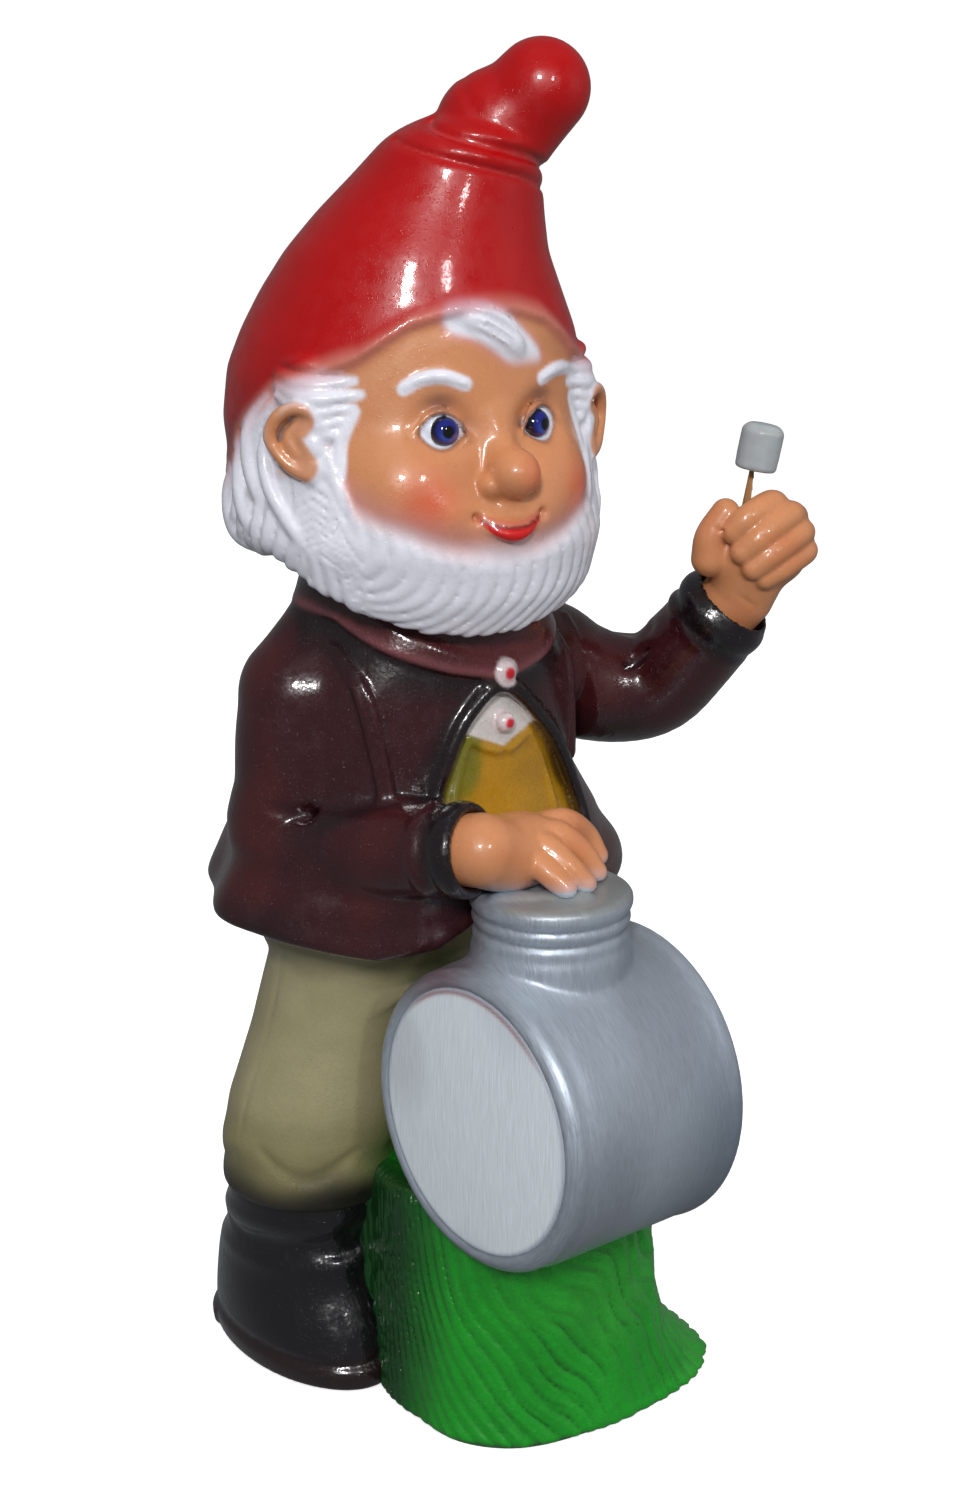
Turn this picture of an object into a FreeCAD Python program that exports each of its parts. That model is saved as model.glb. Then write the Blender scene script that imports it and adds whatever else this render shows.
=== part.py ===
"""Garden gnome with a bass drum, cymbals and a drum mallet: slush-moulded PVC shells, millimetres.

Frame: +Z up, the gnome faces -Y and his left hand is on +X. The origin lies on the flat underside.
Every moulding is hollow. The head turns on a plug neck, the left arm on a shoulder plug, the mallet
pulls out of the fist and the filler bung pulls out of the base plate.
"""

import FreeCAD
import Part
import math
import os
import Sketcher
from FreeCAD import Placement, Rotation, Vector

os.makedirs("parts", exist_ok=True)
doc = FreeCAD.newDocument("GardenGnome")
X_AXIS, Y_AXIS, Z_AXIS = Vector(1, 0, 0), Vector(0, 1, 0), Vector(0, 0, 1)
SECTION_POINTS = 12  # points on each loft section
ROOM = 400.0  # side of a box that is larger than any moulding

# ---------------------------------------------------------------- driving dimensions
DIMENSIONS = {
    "wall": 3.0,  # moulded skin
    "slip": 0.4,  # free gap where one moulding turns in another
    "seat": 0.3,  # gap between neighbouring fixed mouldings
    # heights
    "boot_top": 86.0,
    "hem": 236.0,
    "waist": 288.0,
    "shoulder_height": 325.0,
    "neck_height": 384.0,
    "eye_height": 441.0,
    "brim_height": 480.0,
    "crease_height": 544.0,
    # half widths, side to side
    "hem_half": 91.0,
    "waist_half": 70.0,
    "neck_half": 49.0,
    "head_half": 74.0,
    "leg_radius": 37.0,
    # head and neck
    "neck_y": -5.0,
    "neck_plug_radius": 36.0,
    "neck_plug_length": 18.0,
    "flange": 3.0,
    "head_yaw": -11.0,
    "eye_radius": 5.4,
    "eye_stem_radius": 1.6,
    "eye_stem_length": 12.0,
    "eye_x": 21.0,
    "eye_y": -71.5,
    # left shoulder plug
    "shoulder_x": 58.0,
    "shoulder_y": 4.0,
    "shoulder_radius": 28.0,
    "arm_plug_radius": 16.0,
    "arm_plug_length": 10.0,
    # drum, its axis along X
    "drum_radius": 66.0,
    "drum_width": 94.0,
    "drum_x": 4.0,
    "drum_y": -87.0,
    "drum_z": 164.5,
    "head_inset": 3.0,
    "head_ledge": 6.0,
    "drumhead_radius": 57.5,
    "drumhead_thick": 2.0,
    "rim_bevel": 3.0,
    # cymbals on the drum
    "cymbal_radius": 33.0,
    "cymbal_stem_radius": 29.0,
    "cymbal_sink": 8.0,
    "cymbal_y": -88.0,
    "cymbal_stem": 21.5,
    "cymbal_thick": 4.5,
    "upper_cymbal_thick": 8.5,
    # mallet
    "stick_radius": 2.25,
    "stick_length": 78.0,
    "beater_radius": 9.0,
    "beater_length": 20.0,
    "beater_round": 3.5,
    "beater_socket": 12.0,
    "beater_rise": 46.3,
    "grip_x": 124.6,
    "grip_y": -66.3,
    "grip_z": 376.0,
    "mallet_lean": 10.5,
    "mallet_heading": -38.0,
    # base
    "plate_thick": 3.0,
    "bung_radius": 14.0,
    "bung_length": 9.0,
    "bung_x": 42.0,
    "bung_y": -30.0,
    "bung_lift": 0.6,
    "bung_slip": 0.05,
}

sheet = doc.addObject("Spreadsheet::Sheet", "dims")
for row, (alias, value) in enumerate(DIMENSIONS.items(), start=1):
    sheet.set(f"A{row}", alias)
    sheet.set(f"B{row}", str(value))
    sheet.setAlias(f"B{row}", alias)
doc.recompute()


def dim(alias):
    """One driving dimension, read from the sheet."""
    return float(sheet.get(alias))


wall, slip, seat = dim("wall"), dim("slip"), dim("seat")


# ---------------------------------------------------------------- helpers: parametric bodies
def origin_plane(body, role):
    """A body's own origin plane, by its role."""
    return next(f for f in body.Origin.OriginFeatures if f.Role == role)


def closed_sketch(body, name, role, points):
    """A closed polygon sketch; each corner is a pair of expressions over the sheet."""
    sketch = body.newObject("Sketcher::SketchObject", name)
    sketch.AttachmentSupport = (origin_plane(body, role), [""])
    sketch.MapMode = "FlatFace"
    places = [Vector(worked_out(u), worked_out(v), 0) for u, v in points]
    count = len(places)
    for i in range(count):
        sketch.addGeometry(Part.LineSegment(places[i], places[(i + 1) % count]), False)
    for i in range(count):
        sketch.addConstraint(Sketcher.Constraint("Coincident", i, 2, (i + 1) % count, 1))
    for i, (u, v) in enumerate(points):
        for kind, text, value in (("DistanceX", u, places[i].x), ("DistanceY", v, places[i].y)):
            index = sketch.addConstraint(Sketcher.Constraint(kind, -1, 1, i, 1, value))
            sketch.setExpression(f"Constraints[{index}]", text)
    return sketch


def worked_out(text):
    """The value of an expression over the sheet: products of sizes and numbers, added or taken away."""
    total = 0.0
    for term in text.replace("- ", "+ -").split("+ "):
        product = -1.0 if term.startswith("-") else 1.0
        for factor in term.lstrip("-").split("*"):
            factor = factor.strip()
            product *= dim(factor[5:]) if factor.startswith("dims.") else float(factor)
        total += product
    return total


def revolved_body(name, points):
    """A PartDesign body turned about its own Z axis from a profile of (radius, height) corners."""
    body = doc.addObject("PartDesign::Body", name)
    body.Label = name
    sketch = closed_sketch(body, name + "_profile", "XZ_Plane", points)
    turn = body.newObject("PartDesign::Revolution", name + "_turn")
    turn.Profile = sketch
    turn.ReferenceAxis = (sketch, ["V_Axis"])
    turn.Angle = 360.0
    doc.recompute()
    return body


def place(obj, x, y, z, rotation=None):
    """Puts an object at a point whose coordinates are expressions over the sheet."""
    if rotation is not None:
        obj.Placement = Placement(Vector(0, 0, 0), rotation)
    for axis, text in (("x", x), ("y", y), ("z", z)):
        obj.setExpression(f"Placement.Base.{axis}", text)
    doc.recompute()


def round_edges(body, name, radius_text, wanted):
    """Fillets the edges of a body's tip that the test picks."""
    tip = body.Tip
    edges = [f"Edge{i + 1}" for i, e in enumerate(tip.Shape.Edges) if wanted(e)]
    fillet = body.newObject("PartDesign::Fillet", name)
    fillet.Base = (tip, edges)
    fillet.setExpression("Radius", radius_text)
    body.Tip = fillet
    doc.recompute()


# ---------------------------------------------------------------- helpers: moulded shapes
def section(x, y, z, half_x, half_y):
    """A closed smooth oval at height z."""
    points = []
    for k in range(SECTION_POINTS):
        angle = 2 * math.pi * k / SECTION_POINTS
        points.append(Vector(x + half_x * math.cos(angle), y + half_y * math.sin(angle), z))
    curve = Part.BSplineCurve()
    curve.interpolate(Points=points, PeriodicFlag=True)
    return Part.Wire([curve.toShape()])


def upright_loft(stations, shrink=0.0):
    """A solid through ovals (x, y, z, half width, half depth), each drawn in by shrink."""
    wires = [section(x, y, z, a - shrink, b - shrink) for x, y, z, a, b in stations]
    return Part.makeLoft(wires, True, False)


def ball(centre, radius):
    """A sphere."""
    return Part.makeSphere(radius, centre)


def limb(points, radii, shrink=0.0):
    """Tapered round bars from point to point, with a ball at every bend, drawn in by shrink."""
    pieces = []
    for i in range(len(points) - 1):
        way = points[i + 1] - points[i]
        pieces.append(Part.makeCone(radii[i] - shrink, radii[i + 1] - shrink, way.Length, points[i], way))
    pieces += [ball(point, radius - shrink) for point, radius in list(zip(points, radii))[1:-1]]
    return pieces[0].multiFuse(pieces[1:])


def rod(start, end, radius):
    """A round bar between two points."""
    return Part.makeCylinder(radius, (end - start).Length, start, end - start)


def finger(start, end, radius):
    """A bar with round ends."""
    return rod(start, end, radius).multiFuse([ball(start, radius), ball(end, radius)])


def slab(low, high):
    """Everything between two heights."""
    return Part.makeBox(ROOM, ROOM, high - low, Vector(-ROOM / 2, -ROOM / 2, low))


def moulding(name, shape):
    """A sub-part whose shape is set from Part's own functions."""
    feature = doc.addObject("Part::Feature", name)
    feature.Label = name
    feature.Shape = shape
    return feature


def largest(shape):
    """The biggest solid of a shape, without the slivers that a cut leaves."""
    return max(shape.Solids, key=lambda solid: solid.Volume)


def turned(shape, centre, axis, degrees):
    """A copy of a shape, turned about an axis through a point."""
    copy = shape.copy()
    copy.rotate(centre, axis, degrees)
    return copy


# ---------------------------------------------------------------- right sleeve's path
RIGHT_SHOULDER, RIGHT_UPPER = Vector(-58, 8, dim("shoulder_height")), Vector(-66, 10, 292)
RIGHT_ELBOW, RIGHT_WRIST = Vector(-64, 12, 262), Vector(-33, -78, 277)
RIGHT_SLEEVE_RADII = [24, 23, 22, 18]


def right_sleeve(shrink):
    """The bent right sleeve, drawn in by shrink."""
    way = (RIGHT_WRIST - RIGHT_ELBOW).normalize()
    path = [RIGHT_SHOULDER, RIGHT_UPPER, RIGHT_ELBOW, RIGHT_WRIST + way * min(shrink, 0)]
    sleeve = limb(path, RIGHT_SLEEVE_RADII, shrink)
    return sleeve.fuse(ball(RIGHT_SHOULDER, RIGHT_SLEEVE_RADII[0] - shrink))


# ---------------------------------------------------------------- legs and boots
RIGHT_LEG_X, LEG_SPACING, BODY_X = -26.0, 64.0, 6.0
leg = dim("leg_radius")
ankle_y = 46.0
hip_y = 15.0


def leg_stations(x):
    """Trouser leg from the boot up to the hip: baggy at the ankle, leaning forward."""
    low, high = dim("boot_top"), dim("hem") + 6
    return [
        (x, ankle_y, low, leg, leg),
        (x - 1, ankle_y - 1, low + 0.10 * (high - low), leg + 4, leg + 4),
        (x - 2, ankle_y - 7, low + 0.30 * (high - low), leg + 3, leg + 3),
        (x - 2, ankle_y - 16, low + 0.55 * (high - low), leg - 1, leg),
        (x - 2, ankle_y - 26, low + 0.80 * (high - low), leg - 3, leg - 2),
        (x - 3, hip_y, high, leg - 3, leg - 2),
    ]


def boot_stations(x):
    """Boot from the sole up: long foot, heel behind, ankle under the trouser leg."""
    top = dim("boot_top") - seat
    return [
        (x - 4, 50, 0, 31, 54),
        (x - 4, 50, 8, 33, 56),
        (x - 3, 52, 26, 32, 53),
        (x - 2, 56, 44, 31, 47),
        (x - 1, 54, 64, 33, 41),
        (x, ankle_y, top, leg - 1, leg),
    ]


LEG_XS = {"right": RIGHT_LEG_X, "left": RIGHT_LEG_X + LEG_SPACING}
spigot = [
    (BODY_X, 14, dim("hem") - 22, 62, 44),
    (BODY_X, 13, dim("hem"), 66, 50),
    (BODY_X, 9, dim("hem") + 26, 66, 58),
    (4, 6, dim("waist"), dim("waist_half") - wall - seat, 64 - wall - seat),
]
legs_outer = upright_loft(spigot)
legs_inner = upright_loft(spigot, wall)
for x in LEG_XS.values():
    stations = leg_stations(x)
    legs_outer = legs_outer.fuse(upright_loft(stations))
    legs_inner = legs_inner.fuse(upright_loft(stations, wall))
bottom_cap = dim("boot_top") + wall
legs_inner = legs_inner.cut(slab(0, bottom_cap)).cut(slab(dim("waist") - wall, ROOM))
legs_shape = legs_outer.cut(legs_inner).cut(right_sleeve(-seat))
moulding("legs_shell", largest(legs_shape))

BETWEEN_LEGS = RIGHT_LEG_X + LEG_SPACING / 2


def boot_side(side, gap):
    """The room a boot may take: its own side of the plane between the legs, less a gap."""
    start = BETWEEN_LEGS + gap if side == "left" else BETWEEN_LEGS - gap - ROOM / 2
    return Part.makeBox(ROOM / 2, ROOM, ROOM, Vector(start, -ROOM / 2, 0))


for side, x in LEG_XS.items():
    stations = boot_stations(x)
    outer = upright_loft(stations).common(boot_side(side, seat / 2))
    inner = upright_loft(stations, wall).common(boot_side(side, seat / 2 + wall))
    between_caps = slab(wall, stations[-1][2] - wall)
    moulding(f"{side}_boot", outer.cut(inner.common(between_caps)))

# ---------------------------------------------------------------- drum and its two heads
ALONG_X = Rotation(Y_AXIS, 90)
LEDGE = "dims.drumhead_radius - dims.head_ledge"
LINER = "dims.drum_radius - dims.wall"
FAR_SEAT = "dims.drum_width - dims.head_inset"
drum_shell = revolved_body(
    "drum_shell",
    [
        ("dims.drumhead_radius", "0"),
        ("dims.drum_radius - dims.rim_bevel", "0"),
        ("dims.drum_radius", "dims.rim_bevel"),
        ("dims.drum_radius", "dims.drum_width - dims.rim_bevel"),
        ("dims.drum_radius - dims.rim_bevel", "dims.drum_width"),
        ("dims.drumhead_radius", "dims.drum_width"),
        ("dims.drumhead_radius", FAR_SEAT),
        (LEDGE, FAR_SEAT),
        (LEDGE, FAR_SEAT + " - dims.wall"),
        (LINER, FAR_SEAT + " - dims.wall"),
        (LINER, "dims.head_inset + dims.wall"),
        (LEDGE, "dims.head_inset + dims.wall"),
        (LEDGE, "dims.head_inset"),
        ("dims.drumhead_radius", "dims.head_inset"),
    ],
)
place(drum_shell, "dims.drum_x - dims.drum_width / 2", "dims.drum_y", "dims.drum_z", ALONG_X)


def drum_head(name, x):
    """A round skin that rests on the ledge inside the hoop."""
    disc = doc.addObject("Part::Cylinder", name)
    disc.Label = name
    disc.setExpression("Radius", "dims.drumhead_radius - dims.seat")
    disc.setExpression("Height", "dims.drumhead_thick")
    place(disc, x, "dims.drum_y", "dims.drum_z", ALONG_X)
    return disc


drum_head("drum_head_right", "dims.drum_x - dims.drum_width / 2 + dims.head_inset - dims.drumhead_thick")
drum_head("drum_head_left", "dims.drum_x + dims.drum_width / 2 - dims.head_inset")


def drum_space(gap):
    """The drum's outer cylinder, grown by a gap."""
    radius, width = dim("drum_radius") + gap, dim("drum_width") + 2 * gap
    start = Vector(dim("drum_x") - width / 2, dim("drum_y"), dim("drum_z"))
    return Part.makeCylinder(radius, width, start, X_AXIS)


# ---------------------------------------------------------------- cymbals
CYMBAL_BASE = "dims.drum_z + dims.drum_radius - dims.cymbal_sink"
lower_blank = revolved_body(
    "lower_cymbal_blank",
    [
        ("0", "0"),
        ("dims.cymbal_stem_radius", "0"),
        ("dims.cymbal_stem_radius", "dims.cymbal_stem"),
        ("dims.cymbal_radius - 1", "dims.cymbal_stem"),
        ("dims.cymbal_radius - 1", "dims.cymbal_stem + dims.cymbal_thick"),
        ("0", "dims.cymbal_stem + dims.cymbal_thick"),
    ],
)
place(lower_blank, "0", "dims.cymbal_y", CYMBAL_BASE)
drum_hollow = doc.addObject("Part::Cylinder", "drum_hollow")
drum_hollow.setExpression("Radius", "dims.drum_radius")
drum_hollow.setExpression("Height", "dims.drum_width")
place(drum_hollow, "dims.drum_x - dims.drum_width / 2", "dims.drum_y", "dims.drum_z", ALONG_X)
lower_cymbal = doc.addObject("Part::Cut", "lower_cymbal")
lower_cymbal.Label = "lower_cymbal"
lower_cymbal.Base = lower_blank
lower_cymbal.Tool = drum_hollow

upper_cymbal = revolved_body(
    "upper_cymbal",
    [
        ("0", "0"),
        ("dims.cymbal_radius", "0"),
        ("dims.cymbal_radius", "dims.upper_cymbal_thick * 0.55"),
        ("dims.cymbal_radius * 0.8", "dims.upper_cymbal_thick * 0.85"),
        ("dims.cymbal_radius * 0.4", "dims.upper_cymbal_thick"),
        ("0", "dims.upper_cymbal_thick"),
    ],
)
place(upper_cymbal, "0", "dims.cymbal_y", CYMBAL_BASE + " + dims.cymbal_stem + dims.cymbal_thick")
cymbal_top = worked_out(CYMBAL_BASE + " + dims.cymbal_stem + dims.cymbal_thick + dims.upper_cymbal_thick")

# ---------------------------------------------------------------- mallet
GRIP = Vector(dim("grip_x"), dim("grip_y"), dim("grip_z"))
lean, heading = math.radians(dim("mallet_lean")), math.radians(dim("mallet_heading"))
stick_way = Vector(math.sin(lean) * math.cos(heading), math.sin(lean) * math.sin(heading), math.cos(lean))
ALONG_STICK = Rotation(Z_AXIS, stick_way)


def along_stick(distance):
    """A point on the stick's axis, measured from the middle of the grip."""
    return GRIP + stick_way * distance


def place_on_stick(obj, distance):
    """Stands an object on the stick's axis at a distance above the middle of the grip."""
    obj.Placement = Placement(along_stick(distance), ALONG_STICK)
    doc.recompute()


mallet_stick = doc.addObject("Part::Cylinder", "mallet_stick")
mallet_stick.Label = "mallet_stick"
mallet_stick.setExpression("Radius", "dims.stick_radius")
mallet_stick.setExpression("Height", "dims.stick_length")
beater_low = dim("beater_rise") - dim("beater_length") / 2
place_on_stick(mallet_stick, beater_low + dim("beater_socket") - dim("stick_length"))

BORE = "dims.stick_radius + dims.bung_slip"
mallet_head = revolved_body(
    "mallet_head",
    [
        (BORE, "0"),
        ("dims.beater_radius", "0"),
        ("dims.beater_radius", "dims.beater_length"),
        ("0", "dims.beater_length"),
        ("0", "dims.beater_socket"),
        (BORE, "dims.beater_socket"),
    ],
)


def on_beater_rim(edge):
    """The two outer circles of the beater."""
    return isinstance(edge.Curve, Part.Circle) and edge.Curve.Radius > dim("beater_radius") - 1e-3


round_edges(mallet_head, "beater_rounding", "dims.beater_round", on_beater_rim)
place_on_stick(mallet_head, beater_low)

# ---------------------------------------------------------------- head with its pointed hat
CHIN = 363.0
HEAD_SIDE = [  # radius and height up the side of the head, from the beard's end to the crown
    (50, CHIN), (63, 373), (72, 390), (dim("head_half"), 412), (dim("head_half"), dim("eye_height")),
    (71.5, 462), (66.5, dim("brim_height") + 2), (57, 501),
]  # fmt: skip
HAT_PATH = [Vector(-4, -6, 490), Vector(0, -14, 521), Vector(8, -24, dim("crease_height"))]
HAT_RADII = [61, 45, 34]
HAT_KNOB, HAT_KNOB_RADII = [Vector(17, -31, 553), Vector(31.5, -46.5, 569)], [23.5, 20.5]
NOSE, NOSE_RADIUS = Vector(0, -74, 420), 11
EAR_ENDS, EAR_RADIUS = [Vector(68, -35, 424), Vector(68, -36, 444)], 9


def head_solid(shrink):
    """The head with its beard and hat as one skin surface, drawn in by shrink."""
    side = Part.BSplineCurve()
    side.interpolate([Vector(radius - shrink, 0, z) for radius, z in HEAD_SIDE])
    low, high = HEAD_SIDE[0][1], HEAD_SIDE[-1][1]
    corners = [Vector(HEAD_SIDE[-1][0] - shrink, 0, high), Vector(0, 0, high), Vector(0, 0, low)]
    corners.append(Vector(HEAD_SIDE[0][0] - shrink, 0, low))
    edges = [side.toShape()] + [Part.makeLine(p, q) for p, q in zip(corners, corners[1:])]
    skull = Part.Face(Part.Wire(edges)).revolve(Vector(0, 0, 0), Z_AXIS, 360)
    skull.translate(Vector(0, dim("neck_y"), 0))
    ledge = (HAT_PATH[-1] - HAT_PATH[-2]).normalize() * shrink
    hat = limb(HAT_PATH[:-1] + [HAT_PATH[-1] - ledge], HAT_RADII, shrink)
    knob = limb(HAT_KNOB, HAT_KNOB_RADII, shrink)
    ends = [ball(end, radius - shrink) for end, radius in zip(HAT_KNOB, HAT_KNOB_RADII)]
    return skull.multiFuse([hat, knob] + ends)


def head_features():
    """Nose and ears, solid lumps on the skin."""
    ears = []
    for side in (-1, 1):
        low, high = (Vector(side * end.x, end.y, end.z) for end in EAR_ENDS)
        ears.append(finger(low, high, EAR_RADIUS))
    return [ball(NOSE, NOSE_RADIUS)] + ears


neck_axis = Vector(0, dim("neck_y"), 0)
plug_low = dim("neck_height") - dim("neck_plug_length")
plug_radius = dim("neck_plug_radius")


def neck_disc(radius, low, high):
    """A cylinder on the neck's axis between two heights."""
    return Part.makeCylinder(radius, high - low, neck_axis + Z_AXIS * low, Z_AXIS)


seat_height = dim("neck_height") + slip
seat_radius = dim("neck_half") + 3
head_outer = head_solid(0).multiFuse(head_features())
head_outer = head_outer.cut(neck_disc(seat_radius, 0, seat_height))
flange_top = dim("neck_height") - wall - slip
head_outer = head_outer.fuse(neck_disc(plug_radius, plug_low, seat_height + wall))
head_outer = head_outer.fuse(neck_disc(plug_radius + dim("flange"), plug_low, flange_top))
head_hollow = head_solid(wall).cut(slab(0, CHIN + wall))
head_hollow = head_hollow.cut(neck_disc(seat_radius + wall, 0, seat_height + wall))
head_hollow = head_hollow.fuse(neck_disc(plug_radius - wall, plug_low, seat_height + 2 * wall))
yaw = dim("head_yaw")


def eye_point(side, depth):
    """A point behind the eye's centre, on the eye's own axis."""
    return Vector(side * dim("eye_x"), dim("eye_y") + depth, dim("eye_height"))


for side in (-1, 1):
    stem_hole = rod(eye_point(side, -4), eye_point(side, 12), dim("eye_stem_radius") + dim("bung_slip"))
    socket = ball(eye_point(side, 0), dim("eye_radius") + seat)
    head_outer = head_outer.cut(socket).cut(stem_hole)
head_shape = head_outer.cut(head_hollow)
moulding("head_shell", turned(largest(head_shape), neck_axis, Z_AXIS, yaw))

FACING_BACK = Rotation(Z_AXIS, Y_AXIS)
for side, label in ((-1, "right"), (1, "left")):
    eye = revolved_body(
        f"{label}_eye",
        [
            ("0", "0 - dims.eye_radius * 0.8"),
            ("dims.eye_radius * 0.6", "0 - dims.eye_radius * 0.7"),
            ("dims.eye_radius * 0.95", "0 - dims.eye_radius * 0.2"),
            ("dims.eye_radius * 0.95", "dims.eye_radius * 0.25"),
            ("dims.eye_stem_radius", "dims.eye_radius * 0.3"),
            ("dims.eye_stem_radius", "dims.eye_stem_length"),
            ("0", "dims.eye_stem_length"),
        ],
    )
    washer = revolved_body(
        f"{label}_eye_washer",
        [
            ("dims.eye_stem_radius", "0"),
            ("dims.eye_stem_radius * 3", "0"),
            ("dims.eye_stem_radius * 3", "1.2"),
            ("dims.eye_stem_radius", "1.2"),
        ],
    )
    turn = Rotation(Z_AXIS, yaw)
    for obj, depth in ((eye, 0.0), (washer, dim("eye_stem_length") - 2)):
        centre = neck_axis + turn.multVec(eye_point(side, depth) - neck_axis)
        obj.Placement = Placement(centre, turn.multiply(FACING_BACK))
doc.recompute()

# ---------------------------------------------------------------- arms: sleeves
SHOULDER = Vector(dim("shoulder_x"), dim("shoulder_y"), dim("shoulder_height"))
LEFT_ELBOW, LEFT_WRIST = Vector(114, -22, 309), Vector(128, -58, 350)


def left_sleeve(shrink):
    """The raised left sleeve beyond its shoulder disc, drawn in by shrink."""
    radius = dim("shoulder_radius")
    root = SHOULDER + X_AXIS * (slip + shrink)
    path = [root, SHOULDER + X_AXIS * 14, LEFT_ELBOW, LEFT_WRIST]
    inboard = Part.makeBox(ROOM, ROOM, ROOM, root - Vector(ROOM, ROOM / 2, ROOM / 2))
    cup_end = SHOULDER + X_AXIS * 16
    outside_cup = rod(SHOULDER, cup_end, 2 * radius).cut(rod(SHOULDER, cup_end, radius - shrink))
    return limb(path, [radius, radius - 0.5, 24, 21], shrink).cut(inboard).cut(outside_cup)


# ---------------------------------------------------------------- left arm and fist
FIST, FIST_RADIUS, PALM_RADIUS = Vector(133, -73, 376), 19.0, 15.0
LEFT_WRIST_RADIUS, LEFT_FINGER_RADIUS, FINGER_STEP = 14.0, 6.5, 10.5
fist_out = Vector(math.sin(-heading), math.cos(heading), 0)
wrist_way = (FIST - LEFT_WRIST).normalize()
grip_side = stick_way.cross(fist_out).normalize()
grip_front = grip_side.cross(stick_way).normalize()


def left_fist(gap):
    """Wrist spigot, palm, four curled fingers and thumb, all grown by a gap."""
    pieces = [rod(LEFT_WRIST - wrist_way * 8, FIST, LEFT_WRIST_RADIUS + gap), ball(FIST, FIST_RADIUS + gap)]
    thick = LEFT_FINGER_RADIUS + gap
    for k in range(4):
        level = along_stick(-16 + FINGER_STEP * k)
        start = level + grip_side * 8 - grip_front * 9
        pieces.append(finger(level - grip_side * 8 - grip_front * 9, start, thick))
        pieces.append(finger(start, level + grip_side * 12 + grip_front * 6, thick))
    thumb_root = along_stick(12) - grip_side * 12 - grip_front * 6
    pieces.append(finger(thumb_root, along_stick(22) - grip_front * 9, thick))
    palm = finger(along_stick(-10) + grip_front * 7, along_stick(12) + grip_front * 7, PALM_RADIUS + gap)
    return palm.multiFuse(pieces)


plug_start = SHOULDER + X_AXIS * (slip + wall)
arm_outer = left_sleeve(0)
plug = rod(plug_start, SHOULDER - X_AXIS * dim("arm_plug_length"), dim("arm_plug_radius"))
lip_start = SHOULDER - X_AXIS * (wall + slip)
lip = rod(lip_start, SHOULDER - X_AXIS * dim("arm_plug_length"), dim("arm_plug_radius") + dim("flange"))
plug_bore = rod(
    plug_start + X_AXIS * wall, SHOULDER - X_AXIS * (dim("arm_plug_length") + 1), dim("arm_plug_radius") - wall
)
arm_shape = arm_outer.multiFuse([plug, lip]).cut(left_sleeve(wall)).cut(plug_bore).cut(left_fist(seat))
moulding("left_arm_shell", largest(arm_shape))

stick_bore = rod(along_stick(-60), along_stick(60), dim("stick_radius") + dim("bung_slip"))
moulding("left_hand", left_fist(0).cut(stick_bore))

# ---------------------------------------------------------------- right arm and hand
RIGHT_PALM, RIGHT_PALM_RADIUS = Vector(-12, -86, 272), 13.5
RIGHT_WRIST_RADIUS, RIGHT_FINGER_RADIUS, THUMB_RADIUS = 12.0, 5.5, 6.0
hand_way = (RIGHT_PALM - RIGHT_WRIST).normalize()


def right_wrist(gap):
    """The wrist spigot that sits in the right cuff, and the palm, grown by a gap."""
    spigot = rod(RIGHT_WRIST - hand_way * 8, RIGHT_PALM, RIGHT_WRIST_RADIUS + gap)
    knuckles = RIGHT_PALM + Vector(4, -12, 0)
    return spigot.fuse(finger(RIGHT_PALM - hand_way * 8, knuckles, RIGHT_PALM_RADIUS + gap))


arm_shape = right_sleeve(0).cut(right_sleeve(wall)).cut(right_wrist(seat))
moulding("right_arm_shell", largest(arm_shape))
fingers = []
for k in range(4):
    root = RIGHT_PALM + Vector(10 + 2 * k, 4 - 9 * k, -2)
    fingers.append(finger(root, root + Vector(15 - 3 * k, -7 - 2 * k, -9), RIGHT_FINGER_RADIUS))
fingers.append(finger(RIGHT_PALM + Vector(6, 14, -4), RIGHT_PALM + Vector(22, 12, -10), THUMB_RADIUS))
hand = right_wrist(0).multiFuse(fingers)
cymbal_space = Part.makeCylinder(
    dim("cymbal_radius") + seat, 60, Vector(0, dim("cymbal_y"), cymbal_top + seat - 60), Z_AXIS
)
moulding("right_hand", largest(hand.cut(cymbal_space)))

# ---------------------------------------------------------------- jacket and collar
TORSO_STATIONS = [
    (BODY_X, 12, dim("hem"), dim("hem_half") + 6, 70),
    (BODY_X, 11, dim("hem") + 10, dim("hem_half") + 4, 72),
    (BODY_X, 9, dim("hem") + 28, dim("hem_half") - 5, 71),
    (4, 6, dim("waist"), dim("waist_half"), 64),
    (3, 2, 315, 68, 60),
    (2, 0, 335, 66, 56),
    (1, -3, 350, 57, 52),
    (0, dim("neck_y"), 360, dim("neck_half") + 1, dim("neck_half")),
    (0, dim("neck_y"), dim("neck_height"), dim("neck_half"), dim("neck_half")),
]
torso_outer = upright_loft(TORSO_STATIONS)
torso_inner = upright_loft(TORSO_STATIONS, wall)
torso_inner = torso_inner.cut(neck_disc(100, dim("neck_height") - wall, dim("neck_height") + 1))
cup_radius = dim("shoulder_radius") + slip
cup = rod(SHOULDER - X_AXIS * wall, SHOULDER + X_AXIS * 40, cup_radius + wall).common(torso_outer)
torso_shape = torso_outer.cut(torso_inner).fuse(cup)
torso_shape = torso_shape.cut(rod(SHOULDER, SHOULDER + X_AXIS * 60, cup_radius))
arm_hole = rod(SHOULDER - X_AXIS * 20, SHOULDER + X_AXIS, dim("arm_plug_radius") + slip)
torso_shape = torso_shape.cut(arm_hole)
torso_shape = torso_shape.cut(neck_disc(plug_radius + slip, dim("neck_height") - 10, dim("neck_height") + 1))
torso_shape = torso_shape.cut(right_sleeve(-seat))
cymbal_gap = Part.makeCylinder(dim("cymbal_radius") + 1, 60, Vector(0, dim("cymbal_y"), 215), Z_AXIS)
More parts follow.
